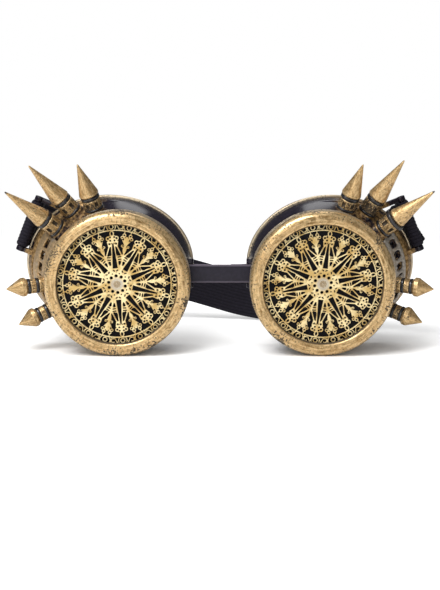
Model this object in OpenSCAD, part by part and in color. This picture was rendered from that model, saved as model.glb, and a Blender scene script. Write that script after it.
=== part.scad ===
// Round goggles with two screw-on bezels, pierced rosette discs in front of dark
// lenses, cone spikes on screws along the outer side of each cup, a flat nose strip
// that hinges on two pins, and an elastic head strap with a sliding buckle.
// Millimetres. The origin is the centre of the footprint on the ground:
// +X runs along the pair, -Y is the front of the lenses, +Z is up.
// Inside a cup's own frame +x points outward, +y up and +z back from the front face.

/* [Cups] */
// Distance between the axes of the two cups
cup_spacing = 84.4; // [82:0.2:92]
// Wall of the flared part of a cup, measured outward from its axis
cup_wall = 2; // [1.6:0.1:2.4]
// How far the flared part starts inside the edge of the flange
neck_step = 1; // [0.5:0.1:1.5]
// Half of the oval rim's width
rim_half_w = 35; // [34:0.5:36.5]
// Half of the oval rim's height
rim_half_h = 28.6; // [27.5:0.1:29.5]
// How far the rim's centre lies outward of the cup's axis
rim_out = 5; // [4:0.5:6]
// How far the rim's centre lies above the cup's axis
rim_up = 5; // [4:0.5:6]
// Depth of the rim behind the front face, at its middle
rim_depth = 26; // [25:0.5:28]
// How much further back the rim lies at its outer end
rim_slant = 1.5; // [0:0.5:2]
// Height of the gold trim bead behind the rim
bead_h = 2.5; // [2:0.1:3.5]

/* [Bezels and lenses] */
// Wall of a bezel round the barrel
bezel_wall = 3; // [2.6:0.1:3.6]
// Depth of a bezel from its front face to its back edge
bezel_depth = 11; // [10:0.1:11.4]
// How far the bezel's lip covers the disc, on the radius
lip_cover = 0.8; // [0.6:0.1:2]
// Depth of the lip that holds the disc
lip_t = 2.4; // [2:0.1:3]
// Radius of the bezel's rounded front shoulder
shoulder_r = 3.2; // [2:0.1:3.6]
// Diameter of the lens, of the disc in front of it and of its gasket
lens_d = 50; // [49.6:0.1:50.6]
// Thickness of the rosette disc
disc_t = 1; // [0.8:0.1:1.4]
// Thickness of the lens
lens_t = 2; // [1.6:0.1:2.4]
// Thickness of the gasket behind the lens
gasket_t = 1; // [0.8:0.1:1.2]
// How far the barrel stands out round the lens, on the radius
barrel_step = 2; // [1.4:0.1:2.4]
// Wall of the barrel
barrel_wall = 3.5; // [3:0.1:5]
// Running gap between the barrel and the bezel, on the radius
thread_gap = 0.05; // [0.03:0.01:0.1]

/* [Spikes] */
// Base diameter of a long spike
long_spike_d = 8.2; // [7:0.1:8.6]
// Length of the two longest spikes
long_spike_l = 20; // [16:0.5:24]
// Length of the top spike
top_spike_l = 14.6; // [12:0.2:18]
// Base diameter of a short spike
short_spike_d = 8; // [6.8:0.1:8.2]
// Length of a short spike
short_spike_l = 8.8; // [8:0.1:12]
// Forward lean of the spikes
spike_lean = 20; // [14:1:24]
// Length of the slotted collar under a long spike
long_collar_l = 4.8; // [4:0.1:5.6]
// Length of the slotted collar under the top spike
top_collar_l = 3.7; // [3:0.1:4.4]
// Thickness of the rubber ring under a long spike
long_ring_t = 1.6; // [1.2:0.1:2]
// Length of each brass collar under a short spike
short_collar_l = 2.2; // [1.8:0.1:2.6]
// Thickness of each rubber ring under a short spike
short_ring_t = 1.35; // [1:0.05:1.6]
// Diameter of a spike's screw
screw_d = 2; // [1.6:0.1:2.4]

/* [Nose strip] */
// Height of the flat nose strip
strip_h = 7.6; // [6:0.2:9]
// Thickness of the nose strip
strip_t = 1.3; // [1:0.1:1.5]
// Height of the nose strip's middle above the axes of the cups
strip_up = 2.6; // [1:0.2:4]
// Diameter of the hinge pins
pin_d = 1.6; // [1.4:0.1:1.8]
// Distance between the two hinge pins
pin_spacing = 25.6; // [25:0.1:26.2]
// Running gap between the strip's folds and the pins, on the radius
pin_gap = 0.06; // [0.03:0.01:0.1]

/* [Head strap] */
// Width of the elastic strap
strap_w = 20; // [18:0.5:21]
// Thickness of the elastic strap
strap_t = 1.3; // [1.1:0.1:1.4]
// Diameter of the bars that hold the strap
bar_d = 2.4; // [2:0.1:2.6]
// Distance of a strap bar outside the wall of the oval rim
bar_off = 2.7; // [2.4:0.1:4]
// Gap between the strap and a bar
strap_gap = 0.1; // [0.08:0.01:0.15]

/* [Hidden] */

$fn = 64;
LEFT = -1;
RIGHT = 1;
tiny = 0.01;

// The stack behind the bezel's lip: disc, lens, gasket, then the barrel's front edge
disc_z = lip_t;
lens_z = disc_z + disc_t;
gasket_z = lens_z + lens_t;
barrel_z = gasket_z + gasket_t;
lens_r = lens_d / 2;
pocket_r = lens_r + 0.25;
thread_r = lens_r + barrel_step;
bore_r = thread_r - barrel_wall;
bezel_r = thread_r + bezel_wall;
opening_r = lens_r - lip_cover;

// The flange behind the bezel, and the flared wall that starts inside it
flange_gap = 0.3;
flange_t = 1.9;
flange_z = bezel_depth + flange_gap;
flange_r = bezel_r - 0.5;
neck_z = flange_z + flange_t - 0.6;
neck_r = flange_r - neck_step;
wall_points = 64;

// Ridge round the outer half of the flare: where it starts, peaks and ends along the wall
ridge_from = 0.6;
ridge_to = 0.8;
ridge_h = 0.8;
wall_steps = [0, 0.15, 0.3, 0.45, ridge_from, 0.66, 0.74, ridge_to, 0.9, 1];

// The vent frame covers the wall between these places
vent_from = 0.1;
vent_to = 0.56;
vent_low = -64;
vent_high = 33;
vent_lift = 0.1;
vent_t = 0.9;
vent_windows = [-57, -47, -18.5, 6, 16, 26];
window_w = 3.9;
window_l = 5.2;

// Hinge pins and the ears that hold them, in a cup's own frame
cup_x = cup_spacing / 2;
cup_z = bezel_r;
pin_r = pin_d / 2;
pin_out = pin_spacing / 2 - cup_x;
fold_r = pin_r + pin_gap + strip_t;
pin_z = flange_z + flange_t + fold_r + 0.24;
ear_r = pin_r + 0.95;
ear_t = 2;
ear_gap = 0.3;
ear_low = strip_up - strip_h / 2 - ear_gap;
ear_high = strip_up + strip_h / 2 + ear_gap;
pocket_floor = pin_out + fold_r + 0.3;
pocket_back = 1.9;
pin_head_r = pin_r + 0.5;
pin_head_t = 0.6;

// Strap bars, in a cup's own frame
bar_r = bar_d / 2;
bar_reach = rim_half_w + bar_off;
bar_turn = 22;
bar_shift = 3.5;
bar_z = rim_depth - 0.6;
bar_at = [
    rim_out + bar_reach * cos(bar_turn) - bar_shift * sin(bar_turn),
    rim_up + bar_reach * sin(bar_turn) + bar_shift * cos(bar_turn),
    bar_z
];
lug_t = 2;
lug_gap = 0.35;
lug_half_w = 1.2;
lug_r = bar_r + 0.7;
leg_l = 6;
leg_out = bar_r + strap_gap + strap_t / 2;

// Spikes: [place round the wall, place along the wall, lean direction left and right,
// length, kind], where kind 1 is a long spike's stack and 0 a short one's
SPIKES = [
    [74.5, 0.27, [72.5, 72], top_spike_l, 1],
    [60, 0.5, [50, 58], long_spike_l, 1],
    [41.3, 0.31, [39, 40], long_spike_l, 1],
    [-7.8, 0.23, [-4, -4], short_spike_l, 0],
    [-29, 0.23, [-24, -20], short_spike_l, 0]
];
boss_h = 0.4;
boss_root = 2.6;
screw_r = screw_d / 2;
screw_gap = 0.05;
screw_bite = 4;
screw_head_r = screw_r + 0.9;
screw_head_t = 1;
screw_under = cup_wall + 0.5;
seat_gap = 0.05;

// Position on the flared wall: a is the place round the oval, t runs from the neck to
// the rim, and inset is measured inward from the outer surface
function flare(t) = 1.4 * t - 0.4 * t * t;
function outer_half(a) = max(0, min(1, 2 * cos(a) + 0.3));
function ridge(t) =
    t <= ridge_from || t >= ridge_to ? 0
    : ridge_h * min(1, min(t - ridge_from, ridge_to - t) / 0.06);
function wall_at(a, t, inset) =
    let (
        f = flare(t),
        swell = inset > 0 ? 0 : ridge(t) * outer_half(a),
        ru = neck_r + (rim_half_w - neck_r) * f - inset + swell,
        rv = neck_r + (rim_half_h - neck_r) * f - inset + swell
    )
    [
        f * rim_out + ru * cos(a),
        f * rim_up + rv * sin(a),
        neck_z + (rim_depth + rim_slant * (rim_half_w - inset) / rim_half_w * cos(a) - neck_z) * t
    ];

// Faces of a tube of rings, each of n points, closed by its two end rings
function ring_sides(rings, n) = [
    for (k = [0 : rings - 2]) for (i = [0 : n - 1])
        let (j = (i + 1) % n)
        each [
            [k * n + i, (k + 1) * n + i, k * n + j],
            [k * n + j, (k + 1) * n + i, (k + 1) * n + j]
        ]
];
function ring_ends(rings, n) = [
    [for (i = [0 : n - 1]) i],
    [for (i = [n - 1 : -1 : 0]) (rings - 1) * n + i]
];

// Places a left cup's own frame in the model, and mirrors it for the right cup
module on_cup(side) {
    mirror([side == RIGHT ? 1 : 0, 0, 0])
        translate([-cup_x, front_y, cup_z])
            rotate([90, 0, 180])
                children();
}

// Carries a piece to a spike's place, with +z along the spike, away from the cup
module on_spike(side, spike) {
    translate(wall_at(spike[0], spike[1], 0))
        rotate([0, 0, side == LEFT ? spike[2][0] : spike[2][1]])
            rotate([0, 90 + spike_lean, 0])
                children();
}

// Lengths of a spike's stack, from the boss to the spike's base
function long_collar(spike) = spike[3] == top_spike_l ? top_collar_l : long_collar_l;
function stack_l(spike) =
    spike[4] == 1
    ? long_ring_t * 0.75 + long_collar(spike) + long_ring_t
    : 2 * (short_collar_l + short_ring_t);

// Diameter of the lowest ring or collar, which sits in a spot face on the wall
function seat_d(spike) = spike[4] == 1 ? long_spike_d : short_spike_d - 1.3;

// Threaded barrel, flange and bore, with the gasket's seat as its front edge
module barrel() {
    difference() {
        union() {
            translate([0, 0, barrel_z]) cylinder(r = thread_r, h = flange_z + flange_t - barrel_z);
            translate([0, 0, flange_z]) cylinder(r = flange_r, h = flange_t);
        }
        translate([0, 0, barrel_z - 1]) cylinder(r = bore_r, h = flange_z + flange_t - barrel_z + 2);
    }
}

module flare_solid(steps, inset) {
    polyhedron(
        points = [for (t = steps) for (i = [0 : wall_points - 1]) wall_at(i * 360 / wall_points, t, inset)],
        faces = concat(ring_sides(len(steps), wall_points), ring_ends(len(steps), wall_points)),
        convexity = 4
    );
}

module spike_bosses(side) {
    for (spike = SPIKES)
        on_spike(side, spike)
            translate([0, 0, -boss_root])
                cylinder(
                    d = spike[4] == 1 ? long_spike_d : short_spike_d - 1.2,
                    h = boss_root + boss_h
                );
}

// Two ears and the bar between them, which the head strap goes round
module strap_lug() {
    lug_y = strap_w / 2 + lug_gap;
    translate(bar_at) rotate([90, 0, bar_turn]) {
        for (flip = [0, 1]) mirror([0, 0, flip])
            translate([0, 0, lug_y]) linear_extrude(lug_t) {
                translate([-bar_reach + 20, -lug_half_w]) square([bar_reach - 20, 2 * lug_half_w]);
                circle(r = lug_r);
            }
        cylinder(r = bar_r, h = 2 * lug_y + tiny, center = true);
    }
}

// Block behind the hinge pocket, and the two ears that hold the pin
module nose_lug() {
    block_h = ear_high - ear_low + 2 * ear_t;
    translate([pocket_floor, ear_low - ear_t, flange_z + 0.2])
        cube([pocket_back, block_h, pin_z + fold_r + 1.6 - flange_z]);
    for (y = [ear_low - ear_t, ear_high]) translate([0, y, 0]) rotate([-90, 0, 0]) linear_extrude(ear_t) {
        translate([pin_out, -pin_z - ear_r]) square([pocket_floor - pin_out + 0.5, 2 * ear_r]);
        translate([pin_out, -pin_z]) circle(r = ear_r);
    }
}

module nose_pocket() {
    translate([pin_out - 12, ear_low, flange_z + 0.6])
        cube([pocket_floor - pin_out + 12, ear_high - ear_low, pin_z + fold_r + 0.9 - flange_z - 0.6]);
    translate([pin_out, ear_low - ear_t - 1, pin_z]) rotate([-90, 0, 0])
        cylinder(r = pin_r + 0.02, h = ear_high - ear_low + 2 * ear_t + 2);
}

// Opening of one vent window, as a six-sided prism square to the wall
module vent_window(a, grow) {
    t = (vent_from + vent_to) / 2;
    w = window_w / 2 + grow;
    l = window_l / 2 + grow;
    translate(wall_at(a, t, 0)) rotate([0, 0, a * 0.93]) rotate([0, 90 + 40, 0])
        linear_extrude(8, center = true)
            polygon([[-l, 0], [-l * 0.45, w], [l * 0.45, w], [l, 0], [l * 0.45, -w], [-l * 0.45, -w]]);
}

module eyecup(side) {
    color("#2b2724") on_cup(side) difference() {
        union() {
            difference() {
                union() {
                    flare_solid(wall_steps, 0);
                    spike_bosses(side);
                    strap_lug();
                }
                flare_solid([0.02, 0.2, 0.45, 0.7, 1, 1.15], cup_wall);
                translate([0, 0, barrel_z]) cylinder(r = bore_r, h = neck_z + 4 - barrel_z);
            }
            barrel();
            nose_lug();
        }
        nose_pocket();
        for (spike = SPIKES) on_spike(side, spike) {
            translate([0, 0, -screw_under - 4])
                cylinder(r = screw_r + screw_gap, h = screw_under + boss_h + 5);
            translate([0, 0, boss_h]) cylinder(d = seat_d(spike) + 2 * seat_gap, h = stack_l(spike));
        }
        for (a = vent_windows) vent_window(a, -0.7);
    }
}

// Gold bead behind the rim: a rounded section carried round the oval
BEAD = [
    [-cup_wall - 0.2, 0], [0.3, 0], [0.6, 0.2], [0.6, 0.72], [0.1, 1],
    [-cup_wall + 0.5, 1], [-cup_wall - 0.1, 0.8], [-cup_wall - 0.4, 0.4]
];
module rim_trim(side) {
    n = len(BEAD);
    color("#b58f4a") on_cup(side) polyhedron(
        points = [
            for (i = [0 : wall_points - 1]) for (p = BEAD)
                wall_at(i * 360 / wall_points, 1, -p[0]) + [0, 0, p[1] * bead_h]
        ],
        faces = [
            for (i = [0 : wall_points - 1]) for (k = [0 : n - 1])
                let (i2 = (i + 1) % wall_points, k2 = (k + 1) % n)
                each [
                    [i * n + k, i * n + k2, i2 * n + k],
                    [i2 * n + k, i * n + k2, i2 * n + k2]
                ]
        ],
        convexity = 6
    );
}

// Thin openwork plate over the vents on the outer side of the flare
module vent_frame(side) {
    cols = 22;
    steps = [vent_from, 0.22, 0.33, 0.44, vent_to];
    rows = len(steps);
    loop = concat([for (k = [0 : rows - 1]) [k, 0]], [for (k = [rows - 1 : -1 : 0]) [k, 1]]);
    n = len(loop);
    color("#8d8a86") on_cup(side) difference() {
        polyhedron(
            points = [
                for (i = [0 : cols]) for (p = loop)
                    wall_at(
                        vent_low + (vent_high - vent_low) * i / cols, steps[p[0]],
                        -vent_lift - vent_t * p[1]
                    )
            ],
            faces = concat(ring_sides(cols + 1, n), ring_ends(cols + 1, n)),
            convexity = 6
        );
        for (a = vent_windows) vent_window(a, 0);
        for (spike = SPIKES) on_spike(side, spike)
            translate([0, 0, -6])
                cylinder(d = (spike[4] == 1 ? long_spike_d : short_spike_d - 1.2) + 0.3, h = 12);
    }
}

module hinge_pin(side) {
    color("#6f6a64") on_cup(side) translate([pin_out, ear_low - ear_t - 0.3, pin_z]) rotate([-90, 0, 0]) {
        cylinder(r = pin_r, h = ear_high - ear_low + 2 * ear_t + 0.3 + tiny);
        translate([0, 0, ear_high - ear_low + 2 * ear_t + 0.3]) cylinder(r = pin_head_r, h = pin_head_t);
    }
}

// Fold of the elastic round a bar, with two straight legs
module strap_fold(leg) {
    difference() {
        union() {
            circle(r = leg_out + strap_t / 2);
            translate([-leg_out - strap_t / 2, 0]) square([2 * leg_out + strap_t, leg]);
        }
        circle(r = leg_out - strap_t / 2);
        translate([-leg_out + strap_t / 2, 0]) square([2 * leg_out - strap_t, leg + 1]);
    }
}

module strap_loop(side) {
    color("#17171a") on_cup(side)
        translate(bar_at) rotate([90, 0, bar_turn])
            linear_extrude(strap_w, center = true) strap_fold(leg_l);
}

// Screw-on bezel: a rounded ring with a lip in front, a groove and a plain running bore
module bezel(side) {
    r = bezel_r;
    s = shoulder_r;
    color("#c79f55") on_cup(side) rotate_extrude($fn = 128) {
        polygon([
            [opening_r, 1.2], [opening_r + 1.4, 0], [r - s, 0], [r - s, s], [r, s],
            [r, bezel_depth - 3.6], [r - 0.5, bezel_depth - 3.3], [r - 0.5, bezel_depth - 2.7],
            [r, bezel_depth - 2.4], [r, bezel_depth - 0.4], [r - 0.4, bezel_depth],
            [thread_r + thread_gap, bezel_depth], [thread_r + thread_gap, barrel_z],
            [pocket_r, barrel_z], [pocket_r, disc_z], [opening_r, disc_z]
        ]);
        intersection() {
            translate([r - s, s]) circle(r = s);
            translate([r - s - tiny, 0]) square([s + tiny, s + tiny]);
        }
    }
}

// Pierced disc: ten wedges and a hub ring, with leaf openings and a beaded border
rosette_turn = [13, 11];
ray_count = 10;
rosette_drawn_r = 24.2;
module rosette_openings() {
    circle_at = 22.75;
    for (k = [0 : ray_count - 1]) rotate(k * 360 / ray_count) {
        polygon([[6.7, -1.45], [17.2, -0.3], [17.2, 0.3], [6.7, 1.45]]);
        translate([3.5, 0]) circle(r = 0.62);
        for (flip = [0, 1]) mirror([0, flip]) {
            polygon([[9.2, 2.5], [13.4, 1.6], [16.4, 1.5], [13.2, 3.3]]);
            polygon([[15.4, 2.7], [18.2, 2.1], [20.6, 2.6], [19.9, 4.9], [17.7, 4.5]]);
            rotate(12) translate([circle_at, 0]) circle(r = 0.8);
        }
        translate([circle_at, 0]) circle(r = 0.8);
    }
}

module rosette(side) {
    color("#d8b56a") on_cup(side) translate([0, 0, disc_z]) linear_extrude(disc_t) difference() {
        circle(r = lens_r, $fn = 128);
        rotate(side == LEFT ? rosette_turn[0] : rosette_turn[1])
            scale(opening_r / rosette_drawn_r) rosette_openings();
    }
}

module lens(side) {
    color("#0b0b0d") on_cup(side) translate([0, 0, lens_z]) cylinder(r = lens_r, h = lens_t, $fn = 128);
}

module gasket(side) {
    color("#1a1a1a") on_cup(side) translate([0, 0, gasket_z]) difference() {
        cylinder(r = lens_r, h = gasket_t, $fn = 128);
        translate([0, 0, -1]) cylinder(r = bore_r - 0.3, h = gasket_t + 2, $fn = 128);
    }
}

// Cone spike with a chamfered foot and a blind hole for its screw
module spike(side, index) {
    spike = SPIKES[index];
    r = (spike[4] == 1 ? long_spike_d : short_spike_d) / 2;
    l = spike[3];
    foot = spike[4] == 1 ? 0.5 : 0.9;
    land = spike[4] == 1 ? 0.5 : 1.5;
    hole = screw_bite + 0.4;
    color("#c9a055") on_cup(side) on_spike(side, spike)
        translate([0, 0, boss_h + stack_l(spike)])
            rotate_extrude() polygon([
                [screw_r + screw_gap, 0], [r - foot, 0], [r, foot], [r, foot + land],
                [0.25, l - 0.2], [0, l], [0, hole], [screw_r + screw_gap, hole]
            ]);
}

module ring_solid(d, h) {
    difference() {
        cylinder(d = d, h = h);
        translate([0, 0, -1]) cylinder(r = screw_r + screw_gap, h = h + 2);
    }
}

// Brass collars: one slotted collar under each long spike, two plain ones under a short one
module spike_collars(side) {
    color("#a5823f") on_cup(side) for (spike = SPIKES) on_spike(side, spike) {
        if (spike[4] == 1) {
            h = long_collar(spike);
            translate([0, 0, boss_h + long_ring_t * 0.75]) difference() {
                ring_solid(long_spike_d - 0.4, h);
                for (k = [0 : 5]) rotate(k * 60)
                    translate([long_spike_d / 2 - 1, -0.55, h * 0.3]) cube([2, 1.1, h * 0.42]);
            }
        } else {
            translate([0, 0, boss_h]) ring_solid(short_spike_d - 1.3, short_collar_l);
            translate([0, 0, boss_h + short_collar_l + short_ring_t])
                ring_solid(short_spike_d - 1.7, short_collar_l);
        }
    }
}

// Rubber rings between the collars, the bosses and the spikes
module spike_rings(side) {
    color("#141414") on_cup(side) for (spike = SPIKES) on_spike(side, spike) {
        if (spike[4] == 1) {
            translate([0, 0, boss_h]) ring_solid(long_spike_d, long_ring_t * 0.75);
            translate([0, 0, boss_h + long_ring_t * 0.75 + long_collar(spike)])
                ring_solid(long_spike_d - 0.3, long_ring_t);
        } else {
            translate([0, 0, boss_h + short_collar_l]) ring_solid(short_spike_d - 1.4, short_ring_t);
            translate([0, 0, boss_h + 2 * short_collar_l + short_ring_t])
                ring_solid(short_spike_d - 1.4, short_ring_t);
        }
    }
}

module spike_screws(side) {
    color("#7b7770") on_cup(side) for (spike = SPIKES) on_spike(side, spike) {
        translate([0, 0, -screw_under - tiny])
            cylinder(r = screw_r, h = screw_under + tiny + boss_h + stack_l(spike) + screw_bite);
        translate([0, 0, -screw_under - screw_head_t]) cylinder(r = screw_head_r, h = screw_head_t);
    }
}

// Flat strip with a fold round each hinge pin and a tail that lies on its back
module nose_strip() {
    x = pin_spacing / 2;
    front = -fold_r;
    color("#1c1b1f") translate([0, front_y + pin_z, cup_z + strip_up - strip_h / 2])
        linear_extrude(strip_h) for (flip = [0, 1]) mirror([flip, 0]) {
            translate([-tiny, front]) square([x + tiny, strip_t]);
            difference() {
                translate([x, 0]) circle(r = fold_r);
                translate([x, 0]) circle(r = pin_r + pin_gap);
                translate([x - fold_r - 1 - tiny, -fold_r - 1]) square([fold_r + 1, 2 * fold_r + 2]);
            }
            polygon([
                [x, fold_r], [x, fold_r - strip_t], [x - 4.2, front + strip_t - tiny],
                [x - 8.2, front + strip_t - tiny], [x - 8.2, front + 2 * strip_t], [x - 4.6, front + 2 * strip_t]
            ]);
        }
}

// The strap's route, from the left bar round the back to the right bar: across, behind
// the front face, and up, each at the middle of the elastic
side_leg = [
    cup_x + bar_at[0] + leg_out * cos(bar_turn),
    bar_at[2] + leg_l,
    cup_z + bar_at[1] + leg_out * sin(bar_turn)
];
ROUTE = concat(
    [[-side_leg[0], side_leg[1] - 8, side_leg[2]], [-side_leg[0], side_leg[1], side_leg[2]]],
    [
        [-82, 40, 52], [-78, 52, 47.5], [-68, 65, 40.5], [-51, 75, 32], [-30, 79.6, 24],
        [-8, 80.4, 17.4], [12, 79.8, 11.8], [27, 77.6, 10.1], [41, 71.6, 13.6],
        [53, 62.5, 22.5], [65, 53.4, 31], [76, 43.6, 41.5]
    ],
    [[side_leg[0], side_leg[1], side_leg[2]], [side_leg[0], side_leg[1] - 8, side_leg[2]]]
);
strap_parts = 4;
spans = len(ROUTE) - 3;
slider_span = 10;

function spline(p, q, r, s, t) =
    0.5 * ((2 * q) + (r - p) * t + (2 * p - 5 * q + 4 * r - s) * t * t + (3 * q - p - 3 * r + s) * t * t * t);
function on_route(x) =
    let (k = min(spans - 1, floor(x)), t = x - k)
    spline(ROUTE[k], ROUTE[k + 1], ROUTE[k + 2], ROUTE[k + 3], t);
function unit(v) = v / norm(v);

// Direction along the strap, direction across it and its inward normal, at place x
function along(x) =
    x <= 0 ? [0, 1, 0]
    : x >= spans ? [0, -1, 0]
    : unit(on_route(x + 0.02) - on_route(x - 0.02));
function upright(x) =
    let (lean = tan(bar_turn) * (max(0, 1 - x / 3) - max(0, 1 - (spans - x) / 3)))
    [lean, 0, 1];
function across(x) = let (d = along(x), w = upright(x)) unit(w - (w * d) * d);
function inward(x) = cross(along(x), across(x));

function strap_ring(x, offset) =
    let (p = on_route(x) + inward(x) * offset, w = across(x) * strap_w / 2, n = inward(x) * strap_t / 2)
    [p - w - n, p + w - n, p + w + n, p - w + n];

module strap_length(places, offsets) {
    n = len(places);
    polyhedron(
        points = [for (k = [0 : n - 1]) each strap_ring(places[k], offsets[k])],
        faces = concat(ring_sides(n, 4), ring_ends(n, 4)),
        convexity = 8
    );
}

// Offsets of the second layer: it leaves a bar's inner leg and closes on the first layer
lap_gap = strap_t + 0.15;
leg_gap = 2 * leg_out;
function lap(x) = lap_gap + (leg_gap - lap_gap) * pow(max(0, 1 - x), 2);
sewn_end = 1.25;
slider_at = slider_span + 0.5;

main_places = [for (k = [0 : spans * strap_parts]) k / strap_parts];
sewn_places = [for (k = [0 : 5]) sewn_end * k / 5];
tail_places = [for (k = [0 : 14]) slider_at + 0.2 + (spans - slider_at - 0.2) * k / 14];

// The buckle's own frame: +x along the strap, +y across it, +z inward
slider_l = 9;
slider_wall = 1;
slider_cheek = 1.6;
slider_bar_r = 0.9;
slider_bar_z = lap_gap + slider_bar_r + strap_gap + strap_t / 2;
module on_slider() {
    p = on_route(slider_at) + [0, front_y, 0];
    d = along(slider_at);
    w = across(slider_at);
    n = inward(slider_at);
    multmatrix([[d[0], w[0], n[0], p[0]], [d[1], w[1], n[1], p[1]], [d[2], w[2], n[2], p[2]], [0, 0, 0, 1]])
        children();
}

module head_strap() {
    color("#17171a") {
        translate([0, front_y, 0]) {
            strap_length(main_places, [for (x = main_places) 0]);
            strap_length(sewn_places, [for (x = sewn_places) lap(x)]);
            strap_length(tail_places, [for (x = tail_places) lap(spans - x)]);
        }
        on_slider() translate([0, 0, slider_bar_z]) rotate([90, 0, 0])
            linear_extrude(strap_w, center = true) rotate(-90) slider_fold();
    }
}

// End of the elastic, folded round the buckle's bar
module slider_fold() {
    r = slider_bar_r + strap_gap;
    leg = 5;
    difference() {
        union() {
            circle(r = r + strap_t);
            translate([-r - strap_t, 0]) square([2 * (r + strap_t), leg]);
        }
        circle(r = r);
        translate([-r, 0]) square([2 * r, leg + 1]);
    }
}

module strap_slider() {
    half = strap_w / 2 + 0.3;
    low = -strap_t / 2 - 0.2 - slider_wall;
    high = slider_bar_z + slider_bar_r + 0.6;
    color("#101012") on_slider() {
        translate([-slider_l / 2, -half - slider_cheek, low])
            cube([slider_l, 2 * (half + slider_cheek), slider_wall]);
        for (y = [-half - slider_cheek, half]) translate([-slider_l / 2, y, low])
            cube([slider_l, slider_cheek, high - low]);
        translate([0, 0, slider_bar_z]) rotate([90, 0, 0])
            cylinder(r = slider_bar_r, h = 2 * half + 2 * tiny, center = true);
    }
}

// The footprint's depth runs from the bezels' front faces to the back of the strap
front_y = -max([for (x = main_places) each [for (p = strap_ring(x, 0)) p[1]]]) / 2;

nose_strip();
head_strap();
strap_slider();

eyecup(LEFT);  // eyecup_left
rim_trim(LEFT);  // rim_trim_left
vent_frame(LEFT);  // vent_frame_left
hinge_pin(LEFT);  // hinge_pin_left
strap_loop(LEFT);  // strap_loop_left
bezel(LEFT);  // bezel_left
rosette(LEFT);  // rosette_left
lens(LEFT);  // lens_left
gasket(LEFT);  // gasket_left
spike(LEFT, 0);  // top_spike_left
spike(LEFT, 1);  // upper_spike_left
spike(LEFT, 2);  // side_spike_left
spike(LEFT, 3);  // middle_spike_left
spike(LEFT, 4);  // lower_spike_left
spike_collars(LEFT);  // spike_collars_left
spike_rings(LEFT);  // spike_rings_left
spike_screws(LEFT);  // spike_screws_left

eyecup(RIGHT);  // eyecup_right
rim_trim(RIGHT);  // rim_trim_right
vent_frame(RIGHT);  // vent_frame_right
hinge_pin(RIGHT);  // hinge_pin_right
strap_loop(RIGHT);  // strap_loop_right
bezel(RIGHT);  // bezel_right
rosette(RIGHT);  // rosette_right
lens(RIGHT);  // lens_right
gasket(RIGHT);  // gasket_right
spike(RIGHT, 0);  // top_spike_right
spike(RIGHT, 1);  // upper_spike_right
spike(RIGHT, 2);  // side_spike_right
spike(RIGHT, 3);  // middle_spike_right
spike(RIGHT, 4);  // lower_spike_right
spike_collars(RIGHT);  // spike_collars_right
spike_rings(RIGHT);  // spike_rings_right
spike_screws(RIGHT);  // spike_screws_right
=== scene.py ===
"""Dresses the goggles: gold bezels, pierced discs, spiked cups, the nose strip and the ribbed strap."""
import math
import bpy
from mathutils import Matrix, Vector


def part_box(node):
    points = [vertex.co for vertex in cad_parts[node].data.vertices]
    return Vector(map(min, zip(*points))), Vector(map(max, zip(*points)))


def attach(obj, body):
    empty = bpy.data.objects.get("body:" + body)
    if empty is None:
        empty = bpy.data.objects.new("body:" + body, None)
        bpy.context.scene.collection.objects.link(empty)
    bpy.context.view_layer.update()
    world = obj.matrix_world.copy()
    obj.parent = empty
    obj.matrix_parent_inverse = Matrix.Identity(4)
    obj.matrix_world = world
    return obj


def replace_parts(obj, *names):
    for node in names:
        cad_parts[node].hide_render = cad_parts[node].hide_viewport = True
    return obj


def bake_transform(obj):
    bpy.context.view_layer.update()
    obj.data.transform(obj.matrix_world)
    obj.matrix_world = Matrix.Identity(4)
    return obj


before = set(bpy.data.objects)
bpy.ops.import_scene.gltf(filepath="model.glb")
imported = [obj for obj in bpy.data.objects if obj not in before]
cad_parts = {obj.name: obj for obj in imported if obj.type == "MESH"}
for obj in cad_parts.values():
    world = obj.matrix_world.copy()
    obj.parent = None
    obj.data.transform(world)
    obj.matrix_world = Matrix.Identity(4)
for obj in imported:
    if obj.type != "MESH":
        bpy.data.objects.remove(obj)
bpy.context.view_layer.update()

from types import SimpleNamespace

import bmesh
import bpy
import numpy as np
from bpy.props import FloatProperty, FloatVectorProperty, IntProperty, PointerProperty
from mathutils import Vector
from mathutils.geometry import delaunay_2d_cdt

bl_info = {
    "name": "Spiked Goggles",
    "version": (1, 0, 0),
    "blender": (4, 5, 0),
    "location": "View3D > Sidebar > Goggles",
    "description": "Builds the looks of a pair of round goggles around their fixed frame",
    "category": "Object",
}

MM = 0.001
SIDES = {"left": -1, "right": 1}


def middle(node):
    """Centre of a frame node's box, in millimetres."""
    low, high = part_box(node)
    return [(a + b) / 2 / MM for a, b in zip(low, high)]


def extent(node):
    """Width, depth and height of a frame node's box, in millimetres."""
    low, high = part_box(node)
    return [(b - a) / MM for a, b in zip(low, high)]


# The cups' own frame: u outward, v up, w back from the front faces, in millimetres
CUP_X, _, CUP_Z = middle("lens_right")
FRONT_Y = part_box("bezel_left")[0].y / MM
BEZEL_DEPTH = extent("bezel_left")[1]
BEZEL_R = extent("bezel_left")[2] / 2
DISC_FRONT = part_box("rosette_left")[0].y / MM - FRONT_Y
LENS_R = extent("lens_left")[2] / 2
PIN_X, PIN_Y, _ = middle("hinge_pin_right")


def length(name, description, size):
    """A length that a user may change: given in millimetres and kept in metres."""
    return FloatProperty(name=name, description=description, default=size * MM, unit="LENGTH", precision=5)


def colour(name, description, rgb):
    """A colour that a user may change."""
    return FloatVectorProperty(
        name=name, description=description, default=rgb, subtype="COLOR", min=0, max=1)


class BezelSizes(bpy.types.PropertyGroup):
    """Sizes of the screw-on bezels"""
    lip_cover: length("Lip cover", "How far the lip covers the disc", 0.55)
    shoulder: length("Shoulder", "Radius of the rounded front shoulder", 3.2)
    thread_r: length("Thread radius", "Radius of the bore over the barrel", 27.05)
    dent: length("Dents", "Depth of the small dents in the gold", 0.05)


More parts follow.
